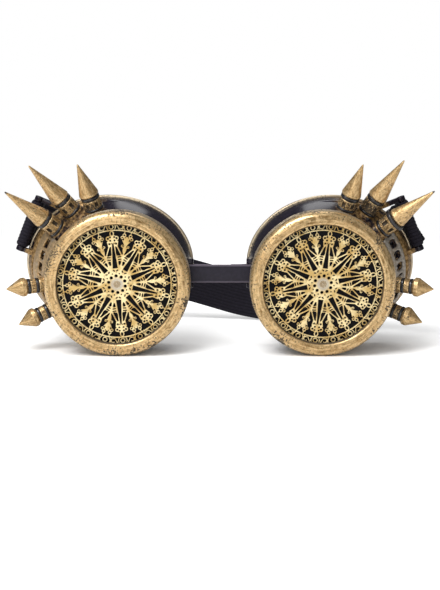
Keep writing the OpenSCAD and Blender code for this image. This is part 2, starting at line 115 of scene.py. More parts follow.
class RosetteSizes(bpy.types.PropertyGroup):
    """Sizes of the pierced discs"""
    rays: IntProperty(name="Rays", description="How many wedges the disc has", default=10, min=3)
    bevel: length("Edge", "Width of the bevelled edge of the openwork", 0.09)
    thickness: length("Thickness", "Thickness of the openwork", 0.9)
    spread: FloatProperty(name="Spread", description="Scale of the pattern on the disc", default=1.035)
    thinning: length("Thinning", "How much slimmer each line is on a side", 0.045)
    grid: length("Grid", "Cell of the grid that traces the openwork", 0.09)


class CupSizes(bpy.types.PropertyGroup):
    """Sizes of the flared cups"""
    neck_r: length("Neck", "Radius of the wall at the neck", 28.5)
    rim_w: length("Rim half width", "Half of the oval rim's width", 35.0)
    rim_h: length("Rim half height", "Half of the oval rim's height", 28.6)
    rim_out: length("Rim outward", "Offset of the rim's middle outward", 5.0)
    rim_up: length("Rim upward", "Offset of the rim's middle upward", 5.0)
    neck_w: length("Neck depth", "Depth of the wall's front edge", 12.6)
    rim_depth: length("Rim depth", "Depth of the rim at its middle", 26.0)
    rim_slant: length("Rim slant", "How much deeper the rim lies outside", 1.5)
    wall: length("Wall", "Thickness of the flared wall", 2.0)
    bead_h: length("Bead", "Height of the gold bead", 2.5)


class StrapSizes(bpy.types.PropertyGroup):
    """Sizes of the elastic"""
    width: length("Width", "Width of the elastic", 20.0)
    thickness: length("Thickness", "Thickness of the elastic", 1.3)
    ribs: IntProperty(name="Ribs", description="Ribs across the elastic", default=13, min=1)
    rib_h: length("Rib height", "Height of a rib", 0.22)


class GoldColours(bpy.types.PropertyGroup):
    """Colours of the antique gold"""
    light: colour("Light", "Rubbed gold", (0.86, 0.62, 0.32))
    mid: colour("Mid", "Antique gold", (0.60, 0.38, 0.165))
    dark: colour("Dark", "Olive brown in the shade", (0.20, 0.115, 0.035))
    # Also the colour of the painted shade in corners, grooves and slots
    soot_and_shade: colour("Soot", "Black left in the strokes", (0.018, 0.013, 0.009))


class GogglesSettings(bpy.types.PropertyGroup):
    """All sizes and colours of the goggles"""
    bezel: PointerProperty(type=BezelSizes)
    rosette: PointerProperty(type=RosetteSizes)
    cup: PointerProperty(type=CupSizes)
    strap: PointerProperty(type=StrapSizes)
    gold: PointerProperty(type=GoldColours)


def settings():
    """The sizes and colours that the scene holds."""
    return bpy.context.scene.goggles


def sizes_of(part):
    """A part's sizes by name, with its lengths in millimetres."""
    group = getattr(settings(), part)
    sizes = {}
    for key, prop in group.bl_rna.properties.items():
        if prop.type in ("FLOAT", "INT"):
            value = getattr(group, key)
            # Single precision, as Blender keeps every size: the openwork's grid turns on the last bit
            if prop.unit == "LENGTH":
                value = float(np.float32(round(value / MM, 5)))
            sizes[key] = value
    return SimpleNamespace(**sizes)


# Shader maths

class Wire:
    """An output socket; + - * and / on it add Math nodes."""

    def __init__(self, paint, socket):
        self.paint = paint
        self.socket = socket

    def math(self, operation, *others, first=None):
        """The result of a Math node on this value, or on another first value, and the others."""
        values = [self if first is None else first, *others]
        node = self.paint.add("ShaderNodeMath", {"operation": operation}, dict(enumerate(values)))
        return Wire(self.paint, node.outputs[0])

    def __add__(self, other):
        return self.math("ADD", other)

    __radd__ = __add__

    def __sub__(self, other):
        return self.math("SUBTRACT", other)

    def __rsub__(self, other):
        return self.math("SUBTRACT", self, first=other)

    def __mul__(self, other):
        return self.math("MULTIPLY", other)

    __rmul__ = __mul__

    def __truediv__(self, other):
        return self.math("DIVIDE", other)

    def __rtruediv__(self, other):
        return self.math("DIVIDE", self, first=other)

    def between(self, low, high, start=0.0, end=1.0):
        """Smooth step from start to end as this value goes from low to high."""
        node = self.paint.add(
            "ShaderNodeMapRange", {"interpolation_type": "SMOOTHSTEP"},
            {"Value": self, "From Min": low, "From Max": high, "To Min": start, "To Max": end})
        return Wire(self.paint, node.outputs[0])


class Paint:
    """One material's node tree, built from expressions."""

    def __init__(self, name):
        self.material = bpy.data.materials.new(name)
        self.material.use_nodes = True
        self.tree = self.material.node_tree
        self.tree.nodes.clear()
        self.place = self.out("ShaderNodeTexCoord", {}, {}, "Object")

    def add(self, kind, setup, sockets):
        """A node of a type, its settings first, then the values or links of its sockets."""
        node = self.tree.nodes.new(kind)
        for key, value in setup.items():
            if key == "stops":
                ramp = node.color_ramp
                while len(ramp.elements) < len(value):
                    ramp.elements.new(0.5)
                for element, (place, colour) in zip(ramp.elements, value):
                    element.position = place
                    element.color = colour
            else:
                setattr(node, key, value)
        for key, value in sockets.items():
            if isinstance(value, Wire):
                self.tree.links.new(value.socket, node.inputs[key])
            else:
                node.inputs[key].default_value = value
        return node

    def out(self, kind, setup, sockets, result=0):
        """The wire from one output of a new node."""
        return Wire(self, self.add(kind, setup, sockets).outputs[result])

    def axes(self, vector):
        """The x, y and z of a vector, as three wires."""
        node = self.add("ShaderNodeSeparateXYZ", {}, {"Vector": vector})
        return [Wire(self, node.outputs[k]) for k in range(3)]

    def vector(self, x, y, z):
        """One vector from three values."""
        return self.out("ShaderNodeCombineXYZ", {}, {"X": x, "Y": y, "Z": z})

    def noise(self, vector, scale, detail=3.0, rough=0.5, warp=0.0, seed=0.0):
        """Cloudy values from 0 to 1; another seed gives another cloud."""
        sockets = {
            "Vector": vector, "W": seed, "Scale": scale,
            "Detail": detail, "Roughness": rough, "Distortion": warp,
        }
        return self.out("ShaderNodeTexNoise", {"noise_dimensions": "4D"}, sockets, "Fac")

    def mix(self, factor, first, second):
        """A colour from the first, at factor 0, to the second, at 1."""
        ends = [end if isinstance(end, Wire) else (*end, 1.0) for end in (first, second)]
        return self.out("ShaderNodeMix", {"data_type": "RGBA"}, {0: factor, 6: ends[0], 7: ends[1]}, 2)

    def attribute(self, name):
        """A value that the mesh holds at its points."""
        return self.out("ShaderNodeAttribute", {"attribute_name": name}, {}, "Fac")

    def bump(self, height, distance, strength):
        """The normal of a surface with this height over it, distance in metres."""
        sockets = {"Height": height, "Distance": distance, "Strength": strength}
        return self.out("ShaderNodeBump", {}, sockets)

    def surface(self, **sockets):
        """Principled surface; names are the shader's own with underscores for spaces."""
        named = {key.replace("_", " "): value for key, value in sockets.items()}
        shader = self.out("ShaderNodeBsdfPrincipled", {}, named)
        self.add("ShaderNodeOutputMaterial", {}, {"Surface": shader})
        return self.material

    def cup_place(self):
        """The cup's own coordinates in mm, alike on both sides, and the side as -1 or 1."""
        x, y, z = self.axes(self.place)
        side = x.math("SIGN")
        u = x.math("ABSOLUTE") / MM - CUP_X
        return u, z / MM - CUP_Z, y / MM - FRONT_Y, side


# Colour of the painted highlight band round the bezels' side walls
GLINT_COLOUR = (0.66, 0.60, 0.48)


def gold_paint(name, streak="round", darkness=0.0, metal=0.78, wear_gain=1.0, sheen_rough=0.29):
    """Antique gold dry-brushed over black; strokes run round the cup or along the piece."""
    gold = settings().gold
    p = Paint(name)
    u, v, w, side = p.cup_place()
    wear = p.attribute("wear")
    grime = p.attribute("grime")
    if streak == "round":
        r = (u * u + v * v).math("SQRT")
        strokes = p.vector(u / r * 11.0, v / r * 11.0, r * 1.5)
        dabs = p.vector(u / r * 42.0, v / r * 42.0, r * 0.9)
        seed = side * 7.3 + w * 0.9
        edge = (r.between(26.2, 29.6) - r.between(30.3, 30.8)) * 0.07
        # Painted highlight: a silvery band round the bezel's side wall
        painted_glint = w.between(3.6, 4.2) * r.between(29.3, 29.7) * 0.6
    else:
        strokes = p.vector(p.attribute("turn") * 2.4, p.attribute("along") * 0.5, side * 4.0)
        dabs = p.vector(p.attribute("turn") * 4.4, p.attribute("along") * 1.1, side * 3.0)
        seed = 3.0
        edge = 0.0
        painted_glint = None
    cloud = p.noise(p.place, 95.0, 3.0, 0.55, seed=1.0)
    fine = p.noise(p.place, 620.0, 3.0, 0.6, seed=2.0)
    dash = p.noise(strokes, 1.0, 4.0, 0.62, 0.4, seed=seed)
    speck = p.noise(p.place, 1350.0, 2.0, 0.5, seed=5.0)
    dab = p.noise(dabs, 1.0, 3.0, 0.6, 0.3, seed=seed + 2.0)
    base = p.mix(cloud.between(0.3, 0.72), gold.dark, gold.mid)
    base = p.mix((cloud * 0.5 + fine * 0.5).between(0.36, 0.62), base, gold.mid)
    rubbed = (dash.between(0.40, 0.62) * 0.75 + wear * 0.8 * wear_gain).math("MINIMUM", 1.0)
    base = p.mix(rubbed, base, gold.light)
    base = p.mix(dab.between(0.52, 0.62) * 0.5, base, gold.dark)
    if painted_glint is not None:
        base = p.mix(painted_glint, base, GLINT_COLOUR)
    patches = dab * 0.42 + speck * 0.2 + cloud * 0.38
    # The black: real black patches and specks, plus painted shade from corners, grooves and slots
    black = (patches + edge - 0.04 * wear + grime * 0.24 + darkness).between(0.56, 0.62)
    base = p.mix(black * 0.93, base, gold.soot_and_shade)
    rough = sheen_rough + fine * 0.16 + black * 0.25 - wear * 0.08
    bumps = p.bump(dash * 0.5 + dab * 0.4 - black * 0.6 + speck * 0.25, 0.00014, 0.6)
    return p.surface(Base_Color=base, Metallic=metal - black * (metal - 0.05), Roughness=rough, Normal=bumps,
                     Coat_Weight=0.12, Coat_Roughness=0.25)


def disc_paint():
    """Bright gold of the pierced discs, darker in patches, silvery at the hub, with painted shade on the
    bevelled edges of the openwork.
    """
    p = Paint("disc_gold")
    u, v, w, side = p.cup_place()
    r = (u * u + v * v).math("SQRT")
    wear = p.attribute("wear")
    cloud = p.noise(p.place, 160.0, 3.0, 0.6, seed=1.5)
    fine = p.noise(p.place, 900.0, 3.0, 0.6, seed=6.0)
    base = p.mix(cloud.between(0.38, 0.60), (0.66, 0.44, 0.15), (1.0, 0.83, 0.46))
    base = p.mix(fine.between(0.56, 0.7) * 0.6, base, (0.26, 0.15, 0.05))
    base = p.mix((1 - r.between(1.8, 3.4)) * 0.8, base, (0.52, 0.48, 0.42))
    # Painted shade: dark brown on the openwork's bevelled edges and its back, where the value is low
    base = p.mix((1 - wear) * 0.6, base, (0.34, 0.21, 0.07))
    bumps = p.bump(fine, 0.00005, 0.5)
    return p.surface(Base_Color=base, Metallic=0.45, Roughness=0.32 + fine * 0.15, Normal=bumps)


def shell_paint():
    """Glossy black moulding with gold and brown rubbed over the outer half."""
    gold = settings().gold
    p = Paint("cup_black")
    u, v, w, side = p.cup_place()
    cloud = p.noise(p.place, 130.0, 4.0, 0.6, 0.6, seed=1.0)
    fine = p.noise(p.place, 800.0, 3.0, 0.6, seed=2.0)
    r = (u * u + v * v).math("SQRT")
    outer = (u / r).between(0.12, 0.42) * r.between(25.5, 27.0) * (1 - r.between(41.5, 43.0))
    outer = outer * (1 - p.attribute("across"))
    rub = (cloud * 0.7 + fine * 0.3 + p.attribute("wear") * 0.35).between(0.42, 0.60) * outer
    base = p.mix(fine.between(0.35, 0.7), (0.006, 0.005, 0.010), (0.015, 0.011, 0.021))
    base = p.mix(rub * 0.85, base, p.mix(fine.between(0.4, 0.65), gold.dark, gold.mid))
    # Painted shade: black in inner corners, along the ridge's foot and under the left vent frame
    base = p.mix((p.attribute("grime") * 0.9).math("MINIMUM", 1.0), base, gold.soot_and_shade)
    bumps = p.bump(cloud * 0.6 + fine * 0.4, 0.0001, 0.35)
    rough = 0.17 + rub * 0.26 + fine * 0.08
    return p.surface(Base_Color=base, Metallic=rub * 0.6, Roughness=rough, Normal=bumps,
                     Specular_IOR_Level=0.32, Coat_Weight=0.08, Coat_Roughness=0.1)


def vent_paint():
    """Openwork over the vents: grey lacquer on one cup and mostly gold on the other."""
    gold = settings().gold
    p = Paint("vent_grey")
    u, v, w, side = p.cup_place()
    cloud = p.noise(p.place, 150.0, 4.0, 0.6, 0.5, seed=8.0)
    fine = p.noise(p.place, 900.0, 3.0, 0.6, seed=2.5)
    grey = p.mix(fine.between(0.35, 0.7), (0.16, 0.15, 0.14), (0.44, 0.42, 0.40))
    tan = p.mix(fine.between(0.3, 0.7), gold.dark, gold.mid)
    share = (cloud + side * 0.1).between(0.40, 0.58)
    base = p.mix(share, tan, grey)
    base = p.mix(p.attribute("wear") * 0.5, base, (0.66, 0.55, 0.40))
    # Painted shade at the feet of the frame's strips
    base = p.mix(p.attribute("grime") * 0.8, base, gold.soot_and_shade)
    bumps = p.bump(cloud * 0.5 + fine * 0.5, 0.00012, 0.5)
    return p.surface(Base_Color=base, Metallic=0.6, Roughness=0.30 + fine * 0.2, Normal=bumps)


def rubber_paint(name, rough):
    """Black rubber, moulded smooth or dull."""
    p = Paint(name)
    fine = p.noise(p.place, 1400.0, 3.0, 0.6, seed=3.0)
    cloud = p.noise(p.place, 220.0, 3.0, 0.6, seed=4.0)
    base = p.mix(cloud.between(0.3, 0.7), (0.010, 0.010, 0.012), (0.026, 0.024, 0.026))
    return p.surface(Base_Color=base, Roughness=rough + fine * 0.14, Normal=p.bump(fine, 0.00004, 0.4),
                     Coat_Weight=0.3, Coat_Roughness=0.12)


def steel_paint():
    """Plain turned steel of the pins and screws."""
    p = Paint("plain_steel")
    fine = p.noise(p.place, 1100.0, 3.0, 0.6, seed=3.5)
    cloud = p.noise(p.place, 300.0, 2.0, 0.5, seed=4.5)
    base = p.mix(cloud.between(0.3, 0.7), (0.25, 0.23, 0.21), (0.46, 0.44, 0.41))
    bumps = p.bump(fine, 0.00004, 0.5)
    return p.surface(Base_Color=base, Metallic=0.9, Roughness=0.3 + fine * 0.2, Normal=bumps)


def lens_paint():
    """Dark glass with a faint haze."""
    p = Paint("lens_dark")
    haze = p.noise(p.place, 240.0, 2.0, 0.5, seed=9.0)
    base = p.mix(haze.between(0.3, 0.8), (0.002, 0.002, 0.003), (0.006, 0.005, 0.007))
    return p.surface(Base_Color=base, Roughness=0.08 + haze * 0.05, Alpha=0.97, Specular_IOR_Level=0.08)


def strip_paint():
    """Satin black coated strip with faint grain and paler edges."""
    p = Paint("strip_black")
    cells = {"Vector": p.place, "Scale": 1500.0}
    grain = p.out("ShaderNodeTexVoronoi", {"feature": "DISTANCE_TO_EDGE"}, cells)
    fine = p.noise(p.place, 700.0, 3.0, 0.6, seed=3.0)
    base = p.mix(fine.between(0.3, 0.7), (0.004, 0.003, 0.009), (0.011, 0.009, 0.020))
    base = p.mix(p.attribute("wear") * 0.75, base, (0.12, 0.10, 0.13))
    bumps = p.bump(grain.between(0.0, 0.12) * 0.4 + fine * 0.6, 0.00004, 0.35)
    return p.surface(Base_Color=base, Roughness=0.33 + fine * 0.14, Normal=bumps, Specular_IOR_Level=0.3)


# Spacing of the elastic's yarns along and across it, in millimetres
WEFT_STEP = 0.62
WARP_STEP = 0.5


def elastic_paint():
    """Matt woven elastic: ribs are geometry, the yarn is bump along the piece's own coordinates."""
    p = Paint("elastic_black")
    along = p.attribute("along")
    across = p.attribute("across")
    picks = (along * (math.tau / WEFT_STEP)).math("SINE")
    ends = (across * (math.tau / WARP_STEP)).math("SINE")
    weave = picks * ends
    fuzz = p.noise(p.place, 2200.0, 2.0, 0.6, seed=2.0)
    base = p.mix(fuzz.between(0.35, 0.7), (0.004, 0.0035, 0.006), (0.012, 0.010, 0.017))
    base = p.mix(p.attribute("wear") * 0.5, base, (0.022, 0.019, 0.030))
    bumps = p.bump(weave * 0.6 + fuzz * 0.4, 0.00008, 0.6)
    return p.surface(Base_Color=base, Roughness=0.72 + fuzz * 0.2, Normal=bumps,
                     Specular_IOR_Level=0.2, Sheen_Weight=0.02, Sheen_Roughness=0.4)


def buckle_paint():
    """Satin black moulding of the buckle."""
    p = Paint("buckle_black")
    fine = p.noise(p.place, 1500.0, 3.0, 0.6, seed=3.0)
    base = p.mix(fine.between(0.3, 0.7), (0.012, 0.012, 0.013), (0.028, 0.027, 0.028))
    return p.surface(Base_Color=base, Roughness=0.42 + fine * 0.15, Normal=p.bump(fine, 0.00005, 0.4))


PAINTS = {}


def paint(name):
    """The named material, made once."""
    if name not in PAINTS:
        makers = {
            "bezel_gold": lambda: gold_paint(name),
            "bead_gold": lambda: gold_paint(name, wear_gain=0.8),
            "spike_gold": lambda: gold_paint(name, "along", darkness=0.02, metal=0.72, sheen_rough=0.31),
            "collar_gold": lambda: gold_paint(name, "along", darkness=0.08),
            "disc_gold": disc_paint,
            "cup_black": shell_paint,
            "vent_grey": vent_paint,
            "ring_rubber": lambda: rubber_paint(name, 0.18),
            "gasket_rubber": lambda: rubber_paint(name, 0.5),
            "plain_steel": steel_paint,
            "lens_dark": lens_paint,
            "strip_black": strip_paint,
            "elastic_black": elastic_paint,
            "buckle_black": buckle_paint,
        }
        PAINTS[name] = makers[name]()
    return PAINTS[name]


# Mesh building

class Shell:
    """Points in millimetres, faces and point values, gathered from closed parts of one piece."""

    NAMES = ("wear", "grime", "along", "across", "turn")

    def __init__(self):
        self.points = []
        self.faces = []
        self.values = {name: [] for name in self.NAMES}
        self.count = 0

    def part(self, points, faces, flip=False, **values):
        """Adds one closed part with its values, each a number or one for every point."""
        points = np.asarray(points, float)
        self.points.append(points)
        for name in self.NAMES:
            value = values.get(name, 0.0)
            self.values[name].append(np.broadcast_to(np.asarray(value, float), (len(points),)))
        for face in faces:
            shifted = [k + self.count for k in face]
            self.faces.append(shifted[::-1] if flip else shifted)
        self.count += len(points)
        return self

    def object(self, name, material, smooth_angle=35.0):
        """The Blender object, in metres, with its faces turned outward and its place in its mesh."""
        mesh = bpy.data.meshes.new(name)
        mesh.from_pydata((np.concatenate(self.points) * MM).tolist(), [], self.faces)
        for key, arrays in self.values.items():
            layer = mesh.attributes.new(key, "FLOAT", "POINT")
            layer.data.foreach_set("value", np.concatenate(arrays).astype(np.float32))
        return link_mesh(name, mesh, material, smooth_angle)


def link_mesh(name, mesh, material, smooth_angle=35.0):
    """Cleans a mesh, turns its faces outward and puts it in the scene."""
    work = bmesh.new()
    work.from_mesh(mesh)
    bmesh.ops.remove_doubles(work, verts=work.verts, dist=2e-7)
    bmesh.ops.recalc_face_normals(work, faces=work.faces)
    work.to_mesh(mesh)
    work.free()
    mesh.materials.clear()
    mesh.materials.append(paint(material))
    piece = bpy.data.objects.new(name, mesh)
    bpy.context.scene.collection.objects.link(piece)
    mesh.shade_smooth()
    mesh.set_sharp_from_angle(angle=math.radians(smooth_angle))
    return piece


def dress(piece, body, slot, *nodes):
    """The piece rides on a body and stands for the frame's nodes; its slot is not used."""
    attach(piece, body)
    if nodes:
        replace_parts(piece, *nodes)
    return piece


def cup_points(side, points):
    """World millimetres of points in a cup's own frame."""
    u, v, w = np.moveaxis(np.asarray(points, float), -1, 0)
    return np.stack([SIDES[side] * (CUP_X + u), FRONT_Y + w, CUP_Z + v], -1)


def outline(corners, steps=4, guard=0.35):
    """Rounded outline through (r, z, fillet) corners: rows of r, z, wear outside and painted shade inside.
    """
    flat = np.array([c[:2] for c in corners], float)
    nxt = np.roll(flat, -1, 0)
    area = float(np.sum(flat[:, 0] * nxt[:, 1] - nxt[:, 0] * flat[:, 1]))
    rows = []
    n = len(corners)
    for k in range(n):
        here, before, after = flat[k], flat[k - 1], flat[(k + 1) % n]
        d0 = (before - here) / (np.linalg.norm(before - here) + 1e-9)
        d1 = (after - here) / (np.linalg.norm(after - here) + 1e-9)
        turn = d1[0] * d0[1] - d1[1] * d0[0]
        convex = turn * area > 0
        half = 0.5 * math.acos(max(-1.0, min(1.0, float(d0 @ d1))))
        reach = min(corners[k][2] / max(math.tan(half), 1e-3),
                    0.48 * np.linalg.norm(before - here), 0.48 * np.linalg.norm(after - here))
        if corners[k][2] <= 0 or reach < 1e-4:
            rows.append((*here, 0.0, 0.0))
            continue
        lead0 = here + d0 * min(reach + guard, 0.499 * np.linalg.norm(before - here))
        lead1 = here + d1 * min(reach + guard, 0.499 * np.linalg.norm(after - here))
        rows.append((*lead0, 0.0, 0.0))
        for i in range(steps + 1):
            t = i / steps
            q = (1 - t) ** 2 * (here + d0 * reach) + 2 * t * (1 - t) * here + t ** 2 * (here + d1 * reach)
            # Convex corners get wear, inner corners get painted shade
            edge = 0.45 + 0.55 * math.sin(math.pi * t)
            rows.append((*q, edge if convex else 0.0, 0.0 if convex else edge))
        rows.append((*lead1, 0.0, 0.0))
    return rows


def lathe(rows, segments, dent=0.0, seed=0):
    """Points, faces and values of an outline spun about the z axis, as one closed shell."""
    rows = np.array(rows, float)
    n = len(rows)
    angle = np.linspace(0, math.tau, segments, endpoint=False)
    r = np.maximum(rows[:, 0], 0.0)
    ring = np.stack([np.outer(np.cos(angle), r), np.outer(np.sin(angle), r),
                     np.broadcast_to(rows[:, 1], (segments, n))], 2)
    if dent > 0:
        rng = np.random.default_rng(seed)
        for wave in range(3, 15):
            phase, amount = rng.uniform(0, math.tau), rng.normal() * dent / math.sqrt(wave)
            swell = 1 + amount * np.sin(wave * angle + phase) / max(r.max(), 1)
            ring[:, :, :2] *= swell[:, None, None]
    points = ring.reshape(-1, 3)
    faces = []
    for i in range(segments):
        j = (i + 1) % segments
        for k in range(n):
            m = (k + 1) % n
            faces.append([i * n + k, j * n + k, j * n + m, i * n + m])
    values = {
        "wear": np.tile(rows[:, 2], segments), "grime": np.tile(rows[:, 3], segments),
        "turn": np.repeat(np.cos(angle) * 2, n), "along": np.tile(rows[:, 1], segments),
    }
    return points, faces, values


def axis_frame(start, direction):
    """3x3 with its third column along direction, and the start point."""
    z = np.asarray(direction, float) / np.linalg.norm(direction)
    x = np.cross([0.0, 1.0, 0.0] if abs(z[1]) < 0.9 else [1.0, 0.0, 0.0], z)
    x /= np.linalg.norm(x)
    return np.stack([x, np.cross(z, x), z], 1), np.asarray(start, float)


def spun(shell, rows, segments, turn, start, dent=0.0, seed=0):
    """Adds an outline spun about an axis of the world."""
    points, faces, values = lathe(rows, segments, dent, seed)
    shell.part(points @ turn.T + start, faces, **values)


def block(shell, low, high, place, soft):
    """Adds a box with softened edges; place carries its points into the world."""
    work = bmesh.new()
    bmesh.ops.create_cube(work, size=1.0)
    low, high = np.array(low, float), np.array(high, float)
    for vert in work.verts:
        vert.co = Vector((low + high) / 2 + np.array(vert.co) * (high - low))
    bmesh.ops.bevel(work, geom=work.edges[:], offset=soft, segments=3, profile=0.5, affect="EDGES")
    work.verts.index_update()
    points = np.array([v.co for v in work.verts])
    depth = np.minimum(points - low, high - points)
    edge = (np.sort(depth, 1)[:, 1] < soft * 1.01).astype(float)
    faces = [[vert.index for vert in face.verts] for face in work.faces]
    shell.part(place(points), faces, wear=edge * 0.9)
    work.free()


# The bezels

def bezel_outline():
    """Outline of a bezel from its lip round the shoulder and grooves to the bore, with wear, painted shade
    in its grooves and a painted shadow along its lip.
    """
    sizes = sizes_of("bezel")
    r, d = BEZEL_R, BEZEL_DEPTH
    opening = LENS_R - sizes.lip_cover
    groove, seat, step = r - 0.45, LENS_R + 0.25, DISC_FRONT + 3.97
    s = sizes.shoulder
    shoulder = [
        (r - s + s * math.sin(a), s - s * math.cos(a), 0.0)
        for a in np.linspace(0.06, math.pi / 2 - 0.06, 9)
    ]
    corners = [
        (opening, DISC_FRONT, 0.05), (opening, 0.9, 0.3), (opening + 0.7, 0.05, 0.4), (r - s, 0.0, 0.8),
        *shoulder,
        (r, s + 0.2, 0.3), (r, s + 1.3, 0.2), (groove, s + 1.6, 0.12), (groove, s + 2.6, 0.12),
        (r, s + 2.9, 0.2), (r, s + 4.3, 0.2), (groove, s + 4.6, 0.15), (groove, s + 5.6, 0.15),
        (r, s + 5.9, 0.2), (r, d, 0.3), (sizes.thread_r, d, 0.2), (sizes.thread_r, step, 0.1),
        (seat, step, 0.1), (seat, DISC_FRONT, 0.1),
    ]
    made = []
    for across, deep, wear, grime in outline(corners, 3):
        if r - s < across and s * 0.15 < deep < s * 0.75:
            wear = max(wear, 0.6)
        # Painted shade on the groove floors and a painted shadow of the lip along its inner edge
        if r - 1 < across < r - 0.2 and s + 1 < deep or across < opening + 0.3:
            grime = 2.2
        made.append((across, deep, wear, grime))
    return made


class GOGGLES_OT_bezels(bpy.types.Operator):
    """Builds the two screw-on bezels with their rounded shoulders, grooves and dents"""
    bl_idname = "goggles.bezels"
    bl_label = "Bezels"

    def execute(self, context):
        for side in SIDES:
            shell = Shell()
            points, faces, values = lathe(bezel_outline(), 192, sizes_of("bezel").dent, 3 + SIDES[side])
            shell.part(cup_points(side, points), faces, **values)
            piece = shell.object(f"{side}_bezel", "bezel_gold", 40)
            dress(piece, f"bezel_{side}_ring", "antique_gold", f"bezel_{side}")
        return {"FINISHED"}


# The pierced discs: distances are below 0 inside the metal, in a wedge's frame of p along and s across

def capsule(p, s, a, b, start, end=None):
    """Distance to a bar from a to b whose width goes from start to end."""
    end = start if end is None else end
    dp, ds = b[0] - a[0], b[1] - a[1]
    h = np.clip(((p - a[0]) * dp + (s - a[1]) * ds) / (dp * dp + ds * ds), 0, 1)
    return np.hypot(p - a[0] - h * dp, s - a[1] - h * ds) - (start + (end - start) * h) / 2


def spot(p, s, centre, radius, stretch=1.0):
    """Distance to a round spot, stretched along the ray."""
    return np.hypot((p - centre[0]) / stretch, s - centre[1]) - radius


def polar_point(degrees, r):
    """Place in the wedge's frame at an angle from the ray."""
    return r * math.cos(math.radians(degrees)), r * math.sin(math.radians(degrees))


def openwork(p, s, half):
    """Metal of one half ray: p and s in the wedge's frame, half the angle of a ray in radians."""
    sizes = sizes_of("rosette")
    p, s = p / sizes.spread, s / sizes.spread
    r = np.hypot(p, s)
    q = p * math.cos(half) + s * math.sin(half)
    t = p * math.sin(half) - s * math.cos(half)
    hub_r, ring_r, rim_r = 11.45, 21.5, 23.9
    metal = [
        r - hub_r,
        np.abs(r - ring_r) - 0.27,
        rim_r - r,
        capsule(p, s, (6.4, 1.28), (15.3, 0.56), 0.52),
        capsule(p, s, (11.4, 2.98), (15.2, 1.5), 0.52),
        capsule(p, s, (15.2, 1.5), (16.9, 1.9), 0.9, 0.8),
        capsule(p, s, (16.9, 0.0), (19.4, 0.0), 0.62, 0.8),
        capsule(p, s, (16.9, 0.0), (15.1, 0.62), 0.6, 0.5),
        capsule(p, s, (15.4, 0.9), (16.5, 1.2), 0.9),
        spot(p, s, (17.35, 1.0), 0.98), spot(p, s, (18.7, 0.85), 0.78), spot(p, s, (18.3, 1.68), 0.95),
        spot(p, s, (20.2, 0.0), 0.93, 1.25),
        capsule(q, t, (11.0, 0.0), (12.9, 0.0), 2.7, 1.3),
        capsule(q, t, (12.6, 0.0), (18.8, 0.0), 0.8, 1.2),
        capsule(q, t, (13.2, 0.2), (14.2, 0.5), 0.9, 0.6),
        capsule(q, t, (14.3, 0.2), (15.2, 1.05), 0.6, 0.5),
        spot(q, t, (15.35, 1.2), 0.55),
        capsule(q, t, (15.9, 0.2), (17.3, 0.75), 0.9, 0.9),
        capsule(q, t, (17.0, 0.3), (19.0, 1.05), 0.8, 0.6),
        capsule(q, t, (16.6, 0.7), (17.6, 1.45), 0.6, 0.45),
        spot(q, t, (19.7, 1.22), 0.78), spot(q, t, (18.65, 1.9), 0.68),
        capsule(q, t, (20.3, 1.25), (21.4, 1.32), 0.42),
        capsule(q, t, (18.0, 0.0), (19.5, 0.0), 0.5, 0.3),
    ]
    holes = [
        spot(p, s, (3.35, 0.0), 0.6), capsule(p, s, (5.3, 0.42), (5.62, 0.86), 0.4),
        np.maximum(np.maximum(6.35 - p, s - (0.98 - (p - 6.5) * 0.0775)), p - 16.3),
        capsule(p, s, (7.75, 1.84), (8.7, 1.98), 0.5, 1.05),
        capsule(p, s, (9.75, 1.62), (9.82, 2.5), 0.42), capsule(p, s, (10.72, 1.55), (10.8, 2.62), 0.42),
        spot(p, s, (16.15, 1.32), 0.36), spot(p, s, (17.45, 0.84), 0.33), spot(p, s, (18.78, 0.84), 0.34),
        spot(p, s, (18.3, 1.74), 0.4), spot(p, s, (20.2, 0.0), 0.43, 1.6),
        spot(q, t, (4.4, 0.0), 0.22), capsule(q, t, (12.25, 0.5), (13.05, 0.72), 0.46, 0.4),
        spot(q, t, (19.7, 1.24), 0.33), spot(q, t, (18.65, 1.9), 0.28), spot(q, t, (15.4, 1.12), 0.2),
        capsule(q, t, (19.6, 0.0), (20.7, 0.0), 0.75, 1.0),
        np.maximum(capsule(p, s, (12.15, 1.5), (14.4, 1.08), 1.2, 0.22), 11.75 - p),
    ]
    border = []
    for centre in (0.0, math.degrees(half)):
        border.append(np.abs(spot(p, s, polar_point(centre, 22.85), 0.82)) - 0.22)
    foot, head = polar_point(3.6, 21.9), polar_point(5.2, 23.9)
    crook, curl = polar_point(9.6, 22.9), polar_point(8.3, 22.75)
    border += [
        capsule(p, s, foot, head, 0.42, 0.36), capsule(p, s, head, polar_point(8.2, 21.9), 0.4),
        np.maximum(np.abs(spot(p, s, crook, 0.8)) - 0.21, curl[1] - s),
        spot(p, s, polar_point(12.4, 23.3), 0.42),
        capsule(p, s, polar_point(12.2, 23.2), polar_point(14.0, 21.9), 0.4),
        capsule(p, s, polar_point(3.4, 23.6), polar_point(4.4, 22.4), 0.3),
        capsule(p, s, polar_point(11.8, 21.9), polar_point(13.4, 23.9), 0.36),
    ]
    solid = np.minimum.reduce(metal)
    solid = np.maximum(solid, -np.minimum.reduce(holes))
    solid = np.maximum(solid, 1.2 - r)
    solid = np.minimum(solid, np.maximum(np.minimum.reduce(border), ring_r - r))
    return solid * sizes.spread + sizes.thinning


